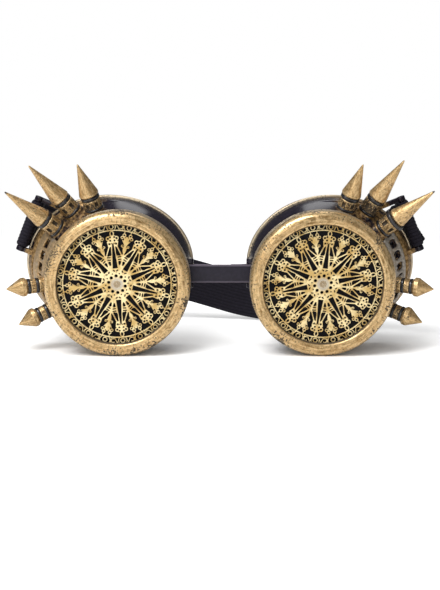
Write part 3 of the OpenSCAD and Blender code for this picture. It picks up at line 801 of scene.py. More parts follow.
def level_lines(field, r_axis, a_axis, level):
    """Segments where a field on an r-by-angle grid crosses a level, as pairs of (r, angle)."""
    f = field - level
    segments = []
    inside = f < 0
    r_step, a_step = r_axis[1] - r_axis[0], a_axis[1] - a_axis[0]
    edges = {}

    def cross(i, j, di, dj):
        key = (i, j, di)
        if key not in edges:
            f0, f1 = f[i, j], f[i + di, j + dj]
            h = f0 / (f0 - f1)
            edges[key] = (r_axis[i] + h * di * r_step, a_axis[j] + h * dj * a_step)
        return edges[key]

    busy = inside[:-1, :-1].astype(int) + inside[1:, :-1] + inside[:-1, 1:] + inside[1:, 1:]
    for i, j in zip(*np.nonzero((busy > 0) & (busy < 4))):
        a, b, c, d = inside[i, j], inside[i + 1, j], inside[i + 1, j + 1], inside[i, j + 1]
        hits = []
        if a != b:
            hits.append(cross(i, j, 1, 0))
        if b != c:
            hits.append(cross(i + 1, j, 0, 1))
        if d != c:
            hits.append(cross(i, j + 1, 1, 0))
        if a != d:
            hits.append(cross(i, j, 0, 1))
        if len(hits) == 2:
            segments.append((hits[0], hits[1]))
        else:
            segments += [(hits[0], hits[3]), (hits[1], hits[2])]
    return segments


def chains(segments):
    """Segments joined end to end into lines of points."""
    touching = {}
    for k, ends in enumerate(segments):
        for end in ends:
            touching.setdefault(end, []).append(k)
    used = set()
    lines = []
    starts = [k for k, ends in enumerate(segments) if any(len(touching[e]) == 1 for e in ends)]
    for first in starts + list(range(len(segments))):
        if first in used:
            continue
        used.add(first)
        a, b = segments[first]
        line = [a, b] if len(touching[a]) == 1 else [b, a] if len(touching[b]) == 1 else [a, b]
        while True:
            following = [k for k in touching[line[-1]] if k not in used]
            if not following:
                break
            used.add(following[0])
            a, b = segments[following[0]]
            line.append(b if a == line[-1] else a)
        lines.append(line)
    return lines


def thinned(line, tolerance):
    """The points of a line that it needs to stay within a tolerance, in mm on the disc."""
    pts = np.array([(r * math.cos(a), r * math.sin(a)) for r, a in line])
    keep = {0, len(pts) - 1}
    closed = np.allclose(pts[0], pts[-1])
    stack = [(0, len(pts) - 1)]
    if closed and len(pts) > 4:
        third = len(pts) // 3
        keep |= {third, 2 * third}
        stack = [(0, third), (third, 2 * third), (2 * third, len(pts) - 1)]
    while stack:
        i, j = stack.pop()
        if j - i < 2:
            continue
        d = pts[j] - pts[i]
        length = np.linalg.norm(d) + 1e-12
        off = np.abs((pts[i + 1:j, 0] - pts[i, 0]) * d[1] - (pts[i + 1:j, 1] - pts[i, 1]) * d[0]) / length
        k = int(off.argmax())
        if off[k] > tolerance:
            keep.add(i + 1 + k)
            stack += [(i, i + 1 + k), (i + 1 + k, j)]
    return pts[sorted(keep)]


LINE_TOLERANCE = 0.014


def half_ray():
    """One half ray: points, faces, each point's share of the bevel and its angle, and the half angle."""
    sizes = sizes_of("rosette")
    half = math.pi / sizes.rays
    r_axis = np.arange(1.0, LENS_R + sizes.grid / 2, sizes.grid)
    a_axis = np.linspace(0, half, int(half * LENS_R * 0.9 / sizes.grid))
    rr, aa = np.meshgrid(r_axis, a_axis, indexing="ij")
    field = openwork(rr * np.cos(aa), rr * np.sin(aa), half)
    places, edges = [], []

    def add_line(line):
        start = len(places)
        places.extend(line.tolist())
        edges.extend((start + k, start + k + 1) for k in range(len(line) - 1))

    for level in (0.0, -sizes.bevel):
        for line in chains(level_lines(field, r_axis, a_axis, level)):
            add_line(thinned(line, LINE_TOLERANCE))
    last_r = r_axis[-1]
    add_line(np.array([(last_r * math.cos(a), last_r * math.sin(a)) for a in np.linspace(0, half, 9)]))
    for a in (0.0, half):
        add_line(np.array([(r * math.cos(a), r * math.sin(a)) for r in (r_axis[0], last_r)]))
    made = delaunay_2d_cdt([Vector(p) for p in places], edges, [], 0, 1e-4)
    points = np.array([tuple(p) for p in made[0]])
    faces = np.array([list(f) for f in made[2]])
    centre = points[faces].mean(1)
    angle = np.arctan2(centre[:, 1], centre[:, 0])
    level = openwork(centre[:, 0], centre[:, 1], half)
    inside = (level < 0) & (angle > 0) & (angle < half) & (np.hypot(*centre.T) < last_r)
    faces = faces[inside]
    depth = openwork(points[:, 0], points[:, 1], half)
    rise = 1 - np.clip(-depth / sizes.bevel, 0, 1)
    rise[rise < 0.15] = 0.0
    angle = np.arctan2(points[:, 1], points[:, 0])
    return points, faces, rise, angle, half


def ray_mesh():
    """One whole ray of the disc: bevelled front, back and the walls of its openings."""
    sizes = sizes_of("rosette")
    points, faces, rise, angle, half = half_ray()
    count = {}
    for f in faces:
        for k in range(3):
            key = tuple(sorted((int(f[k]), int(f[(k + 1) % 3]))))
            count[key] = count.get(key, 0) + 1
    cut = (np.abs(angle) < 1e-5) | (np.abs(angle - half) < 1e-5)
    walls = []
    for (a, b), uses in count.items():
        on_cut = cut[a] and cut[b] and abs(angle[a] - angle[b]) < 1e-5
        if uses == 1 and not on_cut:
            walls.append((a, b))
    shell = Shell()
    n = len(points)
    front = np.column_stack([points, rise * sizes.bevel * 1.1])
    back = np.column_stack([points, np.full(n, sizes.thickness)])
    quads = [[a, b, b + n, a + n] for a, b in walls]
    tris = faces.tolist() + [[k + n for k in f[::-1]] for f in faces.tolist()]
    # 1 on the flat front, 0 on the bevel and the back: the disc's paint puts painted shade where it is low
    wear = np.concatenate([1 - rise, np.zeros(n)])
    for mirror in (1, -1):
        both = np.concatenate([front, back]) * [1, mirror, 1]
        shell.part(both, tris + quads, flip=mirror < 0, wear=wear)
    return shell


def repeat_tree():
    """Turns one ray into a whole disc: copies round the axis, joined and given their material."""
    tree = bpy.data.node_groups.new("rays_round_axis", "GeometryNodeTree")
    sockets = (("Geometry", "Geometry"), ("Rays", "Int"), ("Weld", "Float"), ("Material", "Material"))
    for name, kind in sockets:
        tree.interface.new_socket(name, in_out="INPUT", socket_type=f"NodeSocket{kind}")
    tree.interface.new_socket("Geometry", in_out="OUTPUT", socket_type="NodeSocketGeometry")
    new = tree.nodes.new
    link = tree.links.new
    given = new("NodeGroupInput")
    line = new("GeometryNodeMeshLine")
    index = new("GeometryNodeInputIndex")
    step = new("ShaderNodeMath")
    turn = new("ShaderNodeMath")
    spin = new("ShaderNodeCombineXYZ")
    place = new("GeometryNodeInstanceOnPoints")
    real = new("GeometryNodeRealizeInstances")
    weld = new("GeometryNodeMergeByDistance")
    coat = new("GeometryNodeSetMaterial")
    result = new("NodeGroupOutput")
    step.operation = "DIVIDE"
    step.inputs[0].default_value = math.tau
    turn.operation = "MULTIPLY"
    line.inputs["Offset"].default_value = (0, 0, 0)
    link(given.outputs["Rays"], line.inputs["Count"])
    link(given.outputs["Rays"], step.inputs[1])
    link(step.outputs[0], turn.inputs[0])
    link(index.outputs[0], turn.inputs[1])
    link(turn.outputs[0], spin.inputs["Z"])
    link(line.outputs[0], place.inputs["Points"])
    link(given.outputs["Geometry"], place.inputs["Instance"])
    link(spin.outputs[0], place.inputs["Rotation"])
    link(place.outputs[0], real.inputs[0])
    link(real.outputs[0], weld.inputs[0])
    link(given.outputs["Weld"], weld.inputs["Distance"])
    link(weld.outputs[0], coat.inputs[0])
    link(given.outputs["Material"], coat.inputs["Material"])
    link(coat.outputs[0], result.inputs[0])
    return tree


def grown(piece, tree, **inputs):
    """Applies a node tree with named inputs to a piece and returns the plain mesh; the piece goes."""
    modifier = piece.modifiers.new("grow", "NODES")
    modifier.node_group = tree
    names = {item.name: item.identifier for item in tree.interface.items_tree if item.in_out == "INPUT"}
    for name, value in inputs.items():
        modifier[names[name]] = value
    view = bpy.context.evaluated_depsgraph_get()
    mesh = bpy.data.meshes.new_from_object(piece.evaluated_get(view))
    bpy.data.objects.remove(piece)
    return mesh


# How far each disc is turned, in degrees, and how its copied rays are welded, in metres
DISC_TURNS = {"left": 13.0, "right": 11.0}
DISC_WELD = 2e-6


def disc(side, ray, tree):
    """One pierced disc, from one ray copied round the axis."""
    seed = ray.object(f"{side}_ray", "disc_gold", 30)
    mesh = grown(seed, tree, Rays=sizes_of("rosette").rays, Weld=DISC_WELD, Material=paint("disc_gold"))
    flat = np.zeros(len(mesh.vertices) * 3)
    mesh.vertices.foreach_get("co", flat)
    x, y, z = flat.reshape(-1, 3).T / MM
    cos, sin = math.cos(math.radians(DISC_TURNS[side])), math.sin(math.radians(DISC_TURNS[side]))
    turned = np.stack([x * cos - y * sin, x * sin + y * cos, DISC_FRONT + 0.05 + z], 1)
    mesh.vertices.foreach_set("co", (cup_points(side, turned) * MM).ravel())
    return link_mesh(f"{side}_disc", mesh, "disc_gold", 30)


def disc_boss(side):
    """The small boss at a disc's hub, with eight petals round its knob."""
    rows = outline([
        (0.0, 0.0, 0), (0.42, 0.0, 0.15), (0.55, 0.22, 0.05), (0.75, 0.22, 0.05), (0.9, 0.02, 0.1),
        (1.5, 0.06, 0.12), (1.62, 0.3, 0.08), (1.95, 0.32, 0.1), (2.0, 0.9, 0), (0.0, 0.9, 0)], 3, 0.05)
    points, faces, values = lathe(rows, 96)
    on_petals = np.abs(np.hypot(*points[:, :2].T) - 1.2) < 0.4
    between = np.cos(8 * np.arctan2(points[:, 1], points[:, 0])) < -0.2
    points[:, 2] += np.where(on_petals & between, 0.16, 0.0)
    shell = Shell().part(cup_points(side, points + [0, 0, DISC_FRONT - 0.12]), faces, **values)
    return shell.object(f"{side}_disc_boss", "disc_gold", 35)


class GOGGLES_OT_discs(bpy.types.Operator):
    """Builds the pierced discs: one ray traced from its pattern and repeated round the axis"""
    bl_idname = "goggles.discs"
    bl_label = "Pierced discs"

    def execute(self, context):
        ray = ray_mesh()
        tree = repeat_tree()
        for side in SIDES:
            dress(disc(side, ray, tree), f"lens_pack_{side}", "filigree_brass", f"rosette_{side}")
            dress(disc_boss(side), f"lens_pack_{side}", "filigree_brass")
        return {"FINISHED"}


def repaint(node, name):
    """Gives a frame node's own mesh a material."""
    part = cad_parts[node]
    part.data.materials.clear()
    part.data.materials.append(paint(name))


class GOGGLES_OT_lenses(bpy.types.Operator):
    """Gives the lenses and their gaskets their dark glass and rubber"""
    bl_idname = "goggles.lenses"
    bl_label = "Lenses and gaskets"

    def execute(self, context):
        for side in SIDES:
            repaint(f"lens_{side}", "lens_dark")
            repaint(f"gasket_{side}", "gasket_rubber")
        return {"FINISHED"}


# The flared cups

# Along the wall, from 0 at the neck to 1 at the rim: the raised ridge with its slopes, and the band of vents
RIDGE_FROM = 0.6
RIDGE_TO = 0.8
RIDGE_SLOPE = 0.06
RIDGE_H = 0.8
VENT_FROM = 0.1
VENT_TO = 0.56

# Round the wall in degrees, 0 outward: the ends of the vent frame, the vents, and the frame's bars
VENT_LOW = -64.0
VENT_HIGH = 33.0
VENT_WINDOWS = (-57.0, -47.0, -18.5, 6.0, 16.0, 26.0)
VENT_BARS = (-62.8, -52.0, -41.5, -35.0, -24.5, -12.5, -3.0, 1.5, 11.0, 21.0, 31.5)

# One vent: its length and width, and the lean of its length to the cup's axis in degrees
VENT_LENGTH = 3.8
VENT_WIDTH = 2.5
VENT_LEAN = 130.0

# The widths of the vent frame's two ribs, near the neck and near the rim
RIB_WIDTHS = {"left": (4.3, 4.3), "right": (2.3, 2.1)}

# The lug of the hinge: its inner face, lower and upper end, thickness and way behind the pin, and its ears
LUG_FLOOR = -26.94
LUG_LOW = -3.5
LUG_HIGH = 8.7
LUG_T = 1.9
LUG_BEHIND = 3.86
EAR_R = 1.75
EAR_T = 2.0

# The pocket for the nose strip's folds: its sides in the cup's frame, and its room above and below the strip
POCKET_U = (-41.4, LUG_FLOOR)
POCKET_W = (11.9, 18.66)
POCKET_ROOM = 0.3

# The barrel under the bezel, and the flange behind it
BARREL_BORE = 23.5
BARREL_SLACK = 0.05
BARREL_FRONT = DISC_FRONT + 4.04
FLANGE_R = BEZEL_R - 0.5
FLANGE_W = (BEZEL_DEPTH + 0.3, BEZEL_DEPTH + 2.2)

# The strap bar: its radius, its turn round the cup, and its way out from the rim, upward and to the front
BAR_R = 1.2
BAR_TURN = 22.0
BAR_OFF = 2.7
BAR_SHIFT = 3.5
BAR_BEFORE = 0.6

# The bar's ears: their radius, thickness and length, and the room between them and the elastic
BAR_EAR_R = 1.9
BAR_EAR_T = 2.0
BAR_EAR_LONG = 17.7
BAR_ROOM = 0.35

# Steps round the wall, the height of a spike's boss and the radius of the hole for its screw
WALL_STEPS = 192
BOSS_H = 0.4
SCREW_HOLE = 1.05


def wall(a, t, inset=0.0):
    """Points of the flared wall in the cup's frame: a degrees round it, t from neck to rim, and an inset."""
    sizes = sizes_of("cup")
    a, t, inset = np.broadcast_arrays(*(np.asarray(value, float) for value in (a, t, inset)))
    cos, sin = np.cos(np.radians(a)), np.sin(np.radians(a))
    flare = 1.4 * t - 0.4 * t * t
    rise = np.clip(np.minimum(t - RIDGE_FROM, RIDGE_TO - t) / RIDGE_SLOPE, 0, 1)
    swell = RIDGE_H * rise * rise * (3 - 2 * rise) * np.clip(2 * cos + 0.3, 0, 1) * (inset <= 0)
    ru = sizes.neck_r + (sizes.rim_w - sizes.neck_r) * flare - inset + swell
    rv = sizes.neck_r + (sizes.rim_h - sizes.neck_r) * flare - inset + swell
    depth = sizes.rim_depth + sizes.rim_slant * (sizes.rim_w - inset) / sizes.rim_w * cos - sizes.neck_w
    u = flare * sizes.rim_out + ru * cos
    v = flare * sizes.rim_up + rv * sin
    return np.stack([u, v, sizes.neck_w + depth * t], -1)


def loft(shell, rings, closed, **values):
    """Adds a tube through rings of points (rings, points, 3); open tubes get flat ends."""
    count, n = rings.shape[:2]
    faces = []
    for k in range(count if closed else count - 1):
        m = (k + 1) % count
        for i in range(n):
            j = (i + 1) % n
            faces.append([k * n + i, m * n + i, m * n + j, k * n + j])
    if not closed:
        faces.append(list(range(n)))
        faces.append([(count - 1) * n + i for i in range(n - 1, -1, -1)])
    flat = {key: np.broadcast_to(value, (count, n)).ravel() for key, value in values.items()}
    shell.part(rings.reshape(-1, 3), faces, **flat)


def cutter(name, rings):
    """A closed mesh through rings of points, to cut with."""
    shell = Shell()
    loft(shell, rings, False)
    return shell.object(name, "cup_black")


def cut_away(piece, cutters):
    """The piece with closed meshes cut out of it, its faces turned outward again."""
    for tool in cutters:
        cut = piece.modifiers.new("cut", "BOOLEAN")
        cut.operation = "DIFFERENCE"
        cut.solver = "EXACT"
        cut.object = tool
    view = bpy.context.evaluated_depsgraph_get()
    mesh = bpy.data.meshes.new_from_object(piece.evaluated_get(view))
    name, material = piece.name, piece.data.materials[0].name
    for used in (piece, *cutters):
        bpy.data.objects.remove(used)
    return link_mesh(name, mesh, material, 40)


def vent_cutter(side, a):
    """Six-sided prism square to the wall at one vent."""
    here = wall(a, (VENT_FROM + VENT_TO) / 2)
    long, wide = VENT_LENGTH / 2, VENT_WIDTH / 2
    turn, lean = math.radians(a * 0.93), math.radians(VENT_LEAN)
    outward = np.array([math.cos(turn), math.sin(turn), 0.0])
    back = np.array([0.0, 0.0, 1.0])
    x = outward * math.cos(lean) - back * math.sin(lean)
    y = np.array([-math.sin(turn), math.cos(turn), 0.0])
    z = outward * math.sin(lean) + back * math.cos(lean)
    corners = [(-1, 0), (-0.45, 1), (0.45, 1), (1, 0), (0.45, -1), (-0.45, -1)]
    rings = [[here + x * p * long + y * q * wide + z * height for p, q in corners] for height in (-5.0, 4.0)]
    return cutter("vent", cup_points(side, rings))


def pocket_cutter(side):
    """Box that clears the nose strip's folds out of the cup."""
    low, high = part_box("nose_strip")
    bottom = low.z / MM - CUP_Z - POCKET_ROOM
    top = high.z / MM - CUP_Z + POCKET_ROOM
    (inner, outer), (front, back) = POCKET_U, POCKET_W
    flat = [(inner, front), (outer, front), (outer, back), (inner, back)]
    return cutter("pocket", cup_points(side, [[(u, v, w) for u, w in flat] for v in (bottom, top)]))


def barrel(side):
    """Threaded barrel and flange, with the nose strip's pocket cut into them."""
    r = sizes_of("bezel").thread_r - BARREL_SLACK
    front, back = FLANGE_W
    rows = outline([
        (BARREL_BORE, BARREL_FRONT, 0.1), (r, BARREL_FRONT, 0.1), (r, front, 0), (FLANGE_R, front, 0.3),
        (FLANGE_R, back, 0.3), (BARREL_BORE, back, 0.2)], 3)
    points, faces, values = lathe(rows, 160)
    shell = Shell().part(cup_points(side, points), faces, **values)
    return cut_away(shell.object(f"{side}_cup_barrel", "cup_black", 40), [pocket_cutter(side)])


def shell_wall(side):
    """The flared wall: its ridge, painted shade under the left vent frame, and the vents through it."""
    outer = np.concatenate([
        np.linspace(0, RIDGE_FROM, 14)[:-1], np.linspace(RIDGE_FROM, RIDGE_FROM + RIDGE_SLOPE, 6),
        np.linspace(RIDGE_TO - RIDGE_SLOPE, RIDGE_TO, 6), np.linspace(RIDGE_TO, 1, 7)[1:]])
    t = np.concatenate([outer, np.linspace(1, 0.02, 16)])
    outside = np.arange(len(t)) < len(outer)
    a = np.linspace(0, 360, WALL_STEPS, endpoint=False)
    rings = wall(a[:, None], t[None, :], np.where(outside, 0.0, sizes_of("cup").wall)[None, :])
    from_ridge = np.abs(t - (RIDGE_FROM + RIDGE_TO) / 2)
    from_slope = np.minimum(np.abs(t - RIDGE_FROM - RIDGE_SLOPE / 2), np.abs(t - RIDGE_TO + RIDGE_SLOPE / 2))
    # Painted shade along the foot of the ridge's slopes, and wear on its crest
    grime = np.where(outside & (from_ridge > 0.1) & (from_slope < 0.07), 0.8, 0.0)
    wear = np.where(outside & (from_ridge < 0.08), 0.8, 0.0)
    # Painted shade on the wall under the left cup's vent frame
    framed = (a > VENT_LOW + 360) | (a < VENT_HIGH)
    shade_under_frame = (t > VENT_FROM) & (t < VENT_TO) & outside & (side == "left")
    grime = np.maximum(grime[None, :], (framed[:, None] & shade_under_frame[None, :]) * 1.0)
    shell = Shell()
    loft(shell, cup_points(side, rings), True, wear=wear, grime=grime, across=np.where(outside, 0.0, 1.0))
    vents = [vent_cutter(side, angle) for angle in VENT_WINDOWS]
    return cut_away(shell.object(f"{side}_cup_wall", "cup_black", 40), [*vents, pocket_cutter(side)])


def bar_middle():
    """Middle of the strap bar in the cup's frame."""
    sizes = sizes_of("cup")
    reach = sizes.rim_w + BAR_OFF
    cos, sin = math.cos(math.radians(BAR_TURN)), math.sin(math.radians(BAR_TURN))
    return np.array([
        sizes.rim_out + reach * cos - BAR_SHIFT * sin,
        sizes.rim_up + reach * sin + BAR_SHIFT * cos,
        sizes.rim_depth - BAR_BEFORE,
    ])


def bar_place(side):
    """Carries points from a strap bar's frame, x outward, y back, z across the strap, into the world."""
    cos, sin = math.cos(math.radians(BAR_TURN)), math.sin(math.radians(BAR_TURN))
    axes = np.array([(cos, sin, 0.0), (0.0, 0.0, 1.0), (sin, -cos, 0.0)])
    return lambda points: cup_points(side, bar_middle() + np.asarray(points, float) @ axes)


def round_bar(shell, place, radius, low, high, soft=0.0, segments=40):
    """Adds a round bar along local z, with softened ends."""
    rows = outline([(0, low, 0), (radius, low, soft), (radius, high, soft), (0, high, 0)], 3, 0.15)
    points, faces, values = lathe(rows, segments)
    shell.part(place(points), faces, **values)


def hinge_lug(shell, side):
    """Adds the lug's plate and the two ears that hold the hinge pin."""
    pin_u, pin_w = PIN_X - CUP_X, PIN_Y - FRONT_Y
    root = LUG_FLOOR + 0.5

    def place(points):
        return cup_points(side, points)

    def ear(radius, half):
        nose = [
            (pin_u - radius * math.sin(a), pin_w + radius * math.cos(a)) for a in np.linspace(0, math.pi, 17)
        ]
        return [*nose, (root, pin_w - half), (root, pin_w + half)]

    low, high = (LUG_FLOOR, LUG_LOW, BEZEL_DEPTH + 0.5), (LUG_FLOOR + LUG_T, LUG_HIGH, pin_w + LUG_BEHIND)
    block(shell, low, high, place, 0.3)
    full, eased = ear(EAR_R, EAR_R), ear(EAR_R * 0.86, EAR_R - 0.25)
    levels = ((0.0, eased), (0.25, full), (EAR_T - 0.25, full), (EAR_T, eased))
    for v in (LUG_LOW, LUG_HIGH - EAR_T):
        loft(shell, place([[(u, v + height, w) for u, w in line] for height, line in levels]), False)


def strap_bar(shell, side):
    """Adds the strap bar and the two ears that hold it."""
    place = bar_place(side)
    across = sizes_of("strap").width / 2 + BAR_ROOM
    round_bar(shell, place, BAR_R, -across, across, segments=32)
    for face in (1, -1):
        low, high = sorted((face * across, face * (across + BAR_EAR_T)))
        block(shell, (-BAR_EAR_LONG, -BAR_R, low), (0.0, BAR_R, high), place, 0.3)
        round_bar(shell, place, BAR_EAR_R, low, high, 0.3)


def cup_fittings(side):
    """The lug of the hinge, the strap bar with its ears, and the spikes' bosses."""
    shell = Shell()
    hinge_lug(shell, side)
    strap_bar(shell, side)
    for spike in spikes(side):
        rows = outline([
            (SCREW_HOLE, -2.6, 0), (spike["seat"] + 0.6, -2.6, 0), (spike["seat"], BOSS_H, 0.3),
            (SCREW_HOLE, BOSS_H, 0)], 3)
        spun(shell, rows, 40, spike["turn"], spike["start"])
    return shell.object(f"{side}_cup_fittings", "cup_black", 40)


class GOGGLES_OT_cups(bpy.types.Operator):
    """Builds the flared cups with their lugs, bars and bosses"""
    bl_idname = "goggles.cups"
    bl_label = "Cups"

    def execute(self, context):
        for side in SIDES:
            dress(shell_wall(side), f"cup_{side}", "cup_shell", f"eyecup_{side}")
            dress(cup_fittings(side), f"cup_{side}", "cup_shell")
            dress(barrel(side), f"cup_{side}", "cup_shell")
            repaint(f"hinge_pin_{side}", "plain_steel")
        return {"FINISHED"}


class GOGGLES_OT_beads(bpy.types.Operator):
    """Builds the gold bead behind each cup's rim"""
    bl_idname = "goggles.beads"
    bl_label = "Rim beads"

    def execute(self, context):
        sizes = sizes_of("cup")
        back, height = sizes.wall + 0.1, sizes.bead_h
        section = np.array(outline([
            (-back, 0, 0.2), (0.6, 0, 0.3), (1.0, 0.4 * height, 0.8), (0.4, height, 0.7),
            (0.5 - back, height, 0.6), (-back - 0.3, 0.4 * height, 0.5)], 4, 0.2))
        a = np.linspace(0, 360, WALL_STEPS, endpoint=False)[:, None]
        for side in SIDES:
            rings = wall(a, 1.0, -section[None, :, 0])
            rings[:, :, 2] = wall(a, 1.0)[:, :, 2] + section[None, :, 1]
            shell = Shell()
            # Wear on the section's outer corners, painted shade in its inner ones
            loft(shell, cup_points(side, rings), True, wear=section[None, :, 2], grime=section[None, :, 3])
            piece = shell.object(f"{side}_bead", "bead_gold", 50)
            dress(piece, f"cup_{side}", "antique_gold", f"rim_trim_{side}")
        return {"FINISHED"}


# The vent frames

def swept(path, beside, normal, section):
    """Rings of a section's (beside, out) places along a path, with the path's two cross directions."""
    return (path[:, None] + beside[:, None] * section[None, :, 0, None]
            + normal[:, None] * section[None, :, 1, None])


def wall_strip(shell, side, path, width, height, steps, lift=0.1):
    """Adds a raised strip with rounded shoulders along a path of (degrees, place) on the wall."""
    path = np.array(path, float)
    place = np.linspace(0, len(path) - 1, steps * (len(path) - 1) + 1)
    a, t = (np.interp(place, range(len(path)), column) for column in path.T)
    here = wall(a, t)
    normal = np.cross(wall(a + 0.3, t) - wall(a - 0.3, t), wall(a, t + 0.004) - wall(a, t - 0.004))
    normal /= np.linalg.norm(normal, axis=1)[:, None]
    normal *= np.sign(np.einsum("ij,ij->i", normal, here * [1, 1, 0]))[:, None]
    ahead = np.gradient(here, axis=0)
    ahead /= np.linalg.norm(ahead, axis=1)[:, None]
    half, top = width / 2, lift + height
    flank = [
        (half * 0.55, top, 1.0), (half * 0.86, top * 0.86, 0.6), (half, top * 0.55, 0.0), (half, lift, 0.0),
    ]
    section = np.array([(-x, z, wear) for x, z, wear in flank[::-1]] + [(0, top * 1.04, 0.7)] + flank)
    rings = swept(here, np.cross(normal, ahead), normal, section)
    # Painted shade along each strip's feet, where it meets the wall
    foot = section[None, :, 1] <= lift + 0.01
    loft(shell, cup_points(side, rings), False, wear=section[None, :, 2] * 0.7, grime=foot * 0.8)


class GOGGLES_OT_vents(bpy.types.Operator):
    """Builds the openwork frames over the vents: two ribs round the wall with forked bars between them"""
    bl_idname = "goggles.vents"
    bl_label = "Vent frames"

    def execute(self, context):
        near, far = VENT_FROM + 0.065, VENT_TO - 0.065
        mid = (near + far) / 2
        around = np.linspace(VENT_LOW, VENT_HIGH, 7)
        for side in SIDES:
            shell = Shell()
            for t, width in zip((near, far), RIB_WIDTHS[side]):
                wall_strip(shell, side, [(a, t) for a in around], width, 0.85, 24)
            for a in VENT_BARS:
                wall_strip(shell, side, [(a, mid - 0.07), (a, mid + 0.07)], 1.5, 0.7, 6)
                for fork in (-2.2, 2.2):
                    wall_strip(shell, side, [(a, mid - 0.05), (a + fork, near + 0.02)], 1.2, 0.7, 6)
                    wall_strip(shell, side, [(a, mid + 0.05), (a + fork, far - 0.02)], 1.2, 0.7, 6)
            piece = shell.object(f"{side}_vent_frame", "vent_grey", 50)
            dress(piece, f"cup_{side}", "vent_grey", f"vent_frame_{side}")
        return {"FINISHED"}


# The spikes

# Place round the wall, place along it, lean direction left and right, length, and long or short
SPIKE_PLACES = {
    "top": (74.5, 0.27, 72.5, 72.0, 14.6, True), "upper": (60.0, 0.5, 50.0, 58.0, 20.0, True),
    "side": (41.3, 0.31, 39.0, 40.0, 20.0, True), "middle": (-7.8, 0.23, -4.0, -4.0, 8.8, False),
    "lower": (-29.0, 0.23, -24.0, -20.0, 8.8, False),
}
SPIKE_FORWARD = 20.0
TIP_R = 0.3
SCREW_DEPTH = 4.4

# Under a long spike, from the wall out: the foot ring, the slotted collar and the head ring
FOOT_RING = 1.2
COLLAR = 4.8
TOP_COLLAR = 3.7
HEAD_RING = 1.6
SLOTS = 6
SLOT_HALF = 0.85

# Under a short spike, from the wall out: radius, height, and whether the ring is of rubber
SHORT_STACK = ((3.35, 2.2, False), (3.3, 1.35, True), (3.15, 2.2, False), (3.3, 1.35, True))


def spikes(side):
    """Each spike's axis and the heights of its stack, in world millimetres."""
    made = []
    for name, (a, t, left, right, reach, long) in SPIKE_PLACES.items():
        lean = math.radians(left if side == "left" else right)
        out, forward = math.cos(math.radians(SPIKE_FORWARD)), math.sin(math.radians(SPIKE_FORWARD))
        way = np.array([out * math.cos(lean) * SIDES[side], -forward, out * math.sin(lean)])
        turn, start = axis_frame(cup_points(side, wall(a, t)), way)
        collar = TOP_COLLAR if name == "top" else COLLAR
        stack = FOOT_RING + collar + HEAD_RING if long else sum(height for _, height, _ in SHORT_STACK)
        made.append({
            "name": name, "turn": turn, "start": start, "length": reach, "long": long, "collar": collar,
            "base": BOSS_H + stack, "r": 4.1 if long else 4.0, "seat": 4.1 if long else 3.4,
        })
    return made


def washer(shell, spike, radius, low, height, soft):
    """Adds a rounded ring round a spike's screw."""
    rows = outline([
        (SCREW_HOLE, 0, 0), (radius, 0, soft), (radius, height, soft), (SCREW_HOLE, height, 0)], 5, 0.1)
    lifted = [(r, z + low, wear, grime) for r, z, wear, grime in rows]
    spun(shell, lifted, 64, spike["turn"], spike["start"])


def slotted_collar(shell, spike, low):
    """Adds a brass collar with slots round it, and painted shade in the slots."""
    h, r = spike["collar"], spike["r"] - 0.2
    levels = [(r, h * share, 0) for share in (0.24, 0.30, 0.36, 0.5, 0.64, 0.71, 0.77)]
    rows = outline([(SCREW_HOLE, 0, 0), (r, 0, 0.3), *levels, (r, h, 0.3), (SCREW_HOLE, h, 0)], 3, 0.2)
    points, faces, values = lathe(rows, 144)
    angle = np.arctan2(points[:, 1], points[:, 0])
    half_step = math.pi / SLOTS
    from_slot = np.abs((angle + half_step) % (2 * half_step) - half_step) * r
    height = points[:, 2] / h
    upright = np.clip((height - 0.25) / 0.06, 0, 1) * np.clip((0.76 - height) / 0.06, 0, 1)
    slot = np.clip((SLOT_HALF - from_slot) / 0.18, 0, 1) * upright
    slot = slot * (np.hypot(*points[:, :2].T) > r - 0.4)
    points[:, :2] *= (1 - slot * 0.24)[:, None]
    # Painted shade in the slots, and wear along their edges
    values["grime"] = np.maximum(values["grime"], slot * 2.0)
    values["wear"] = np.maximum(values["wear"], (1 - slot) * (from_slot < 1.3) * (upright > 0) * 0.5)
    shell.part((points + [0, 0, low]) @ spike["turn"].T + spike["start"], faces, **values)


def stack(side, spike, collars, rings):
    """Adds what lies between a spike and the wall: brass to the collars and rubber to the rings."""
    if spike["long"]:
        low = BOSS_H + FOOT_RING
        slotted_collar(collars, spike, low)
        widest = (side, spike["name"]) == ("right", "side")
        washer(rings, spike, spike["r"], BOSS_H, FOOT_RING, 0.5)
        washer(rings, spike, spike["r"] + (1.0 if widest else -0.15), low + spike["collar"], HEAD_RING, 0.5)
        return
    low = BOSS_H
    for radius, height, rubber in SHORT_STACK:
        washer(rings if rubber else collars, spike, radius, low, height, 0.5 if rubber else 0.3)
        low += height


def cone(side, spike, seed):
    """One spike: a turned foot, a smooth cone in many short steps, and the hole of its screw."""
    r, reach = spike["r"], spike["length"]
    foot, land = (0.5, 0.5) if spike["long"] else (0.9, 1.5)
    low, high = foot + land, reach - 0.25
    slope = [(r + (TIP_R - r) * k / 24, low + (high - low) * k / 24, 0.0) for k in range(1, 24)]
    rows = outline([
        (SCREW_HOLE, 0, 0), (r - foot, 0, 0.12), (r, foot, 0.2), (r, low, 0.3), *slope, (TIP_R, high, 0.1),
        (0.0, reach, 0), (0.0, SCREW_DEPTH, 0), (SCREW_HOLE, SCREW_DEPTH, 0)], 3, 0.25)
    # The side spike's last 0.9 mm is painted black through the same value as the painted shade
    black_from = reach - 0.9 if spike["name"] == "side" else reach
    rows = [(across, z, wear, 2.5 if z > black_from else grime) for across, z, wear, grime in rows]
    shell = Shell()
    start = spike["start"] + spike["turn"][:, 2] * spike["base"]
    spun(shell, rows, 72, spike["turn"], start, 0.02, seed)
    return shell.object(f"{side}_{spike['name']}_spike", "spike_gold", 40)


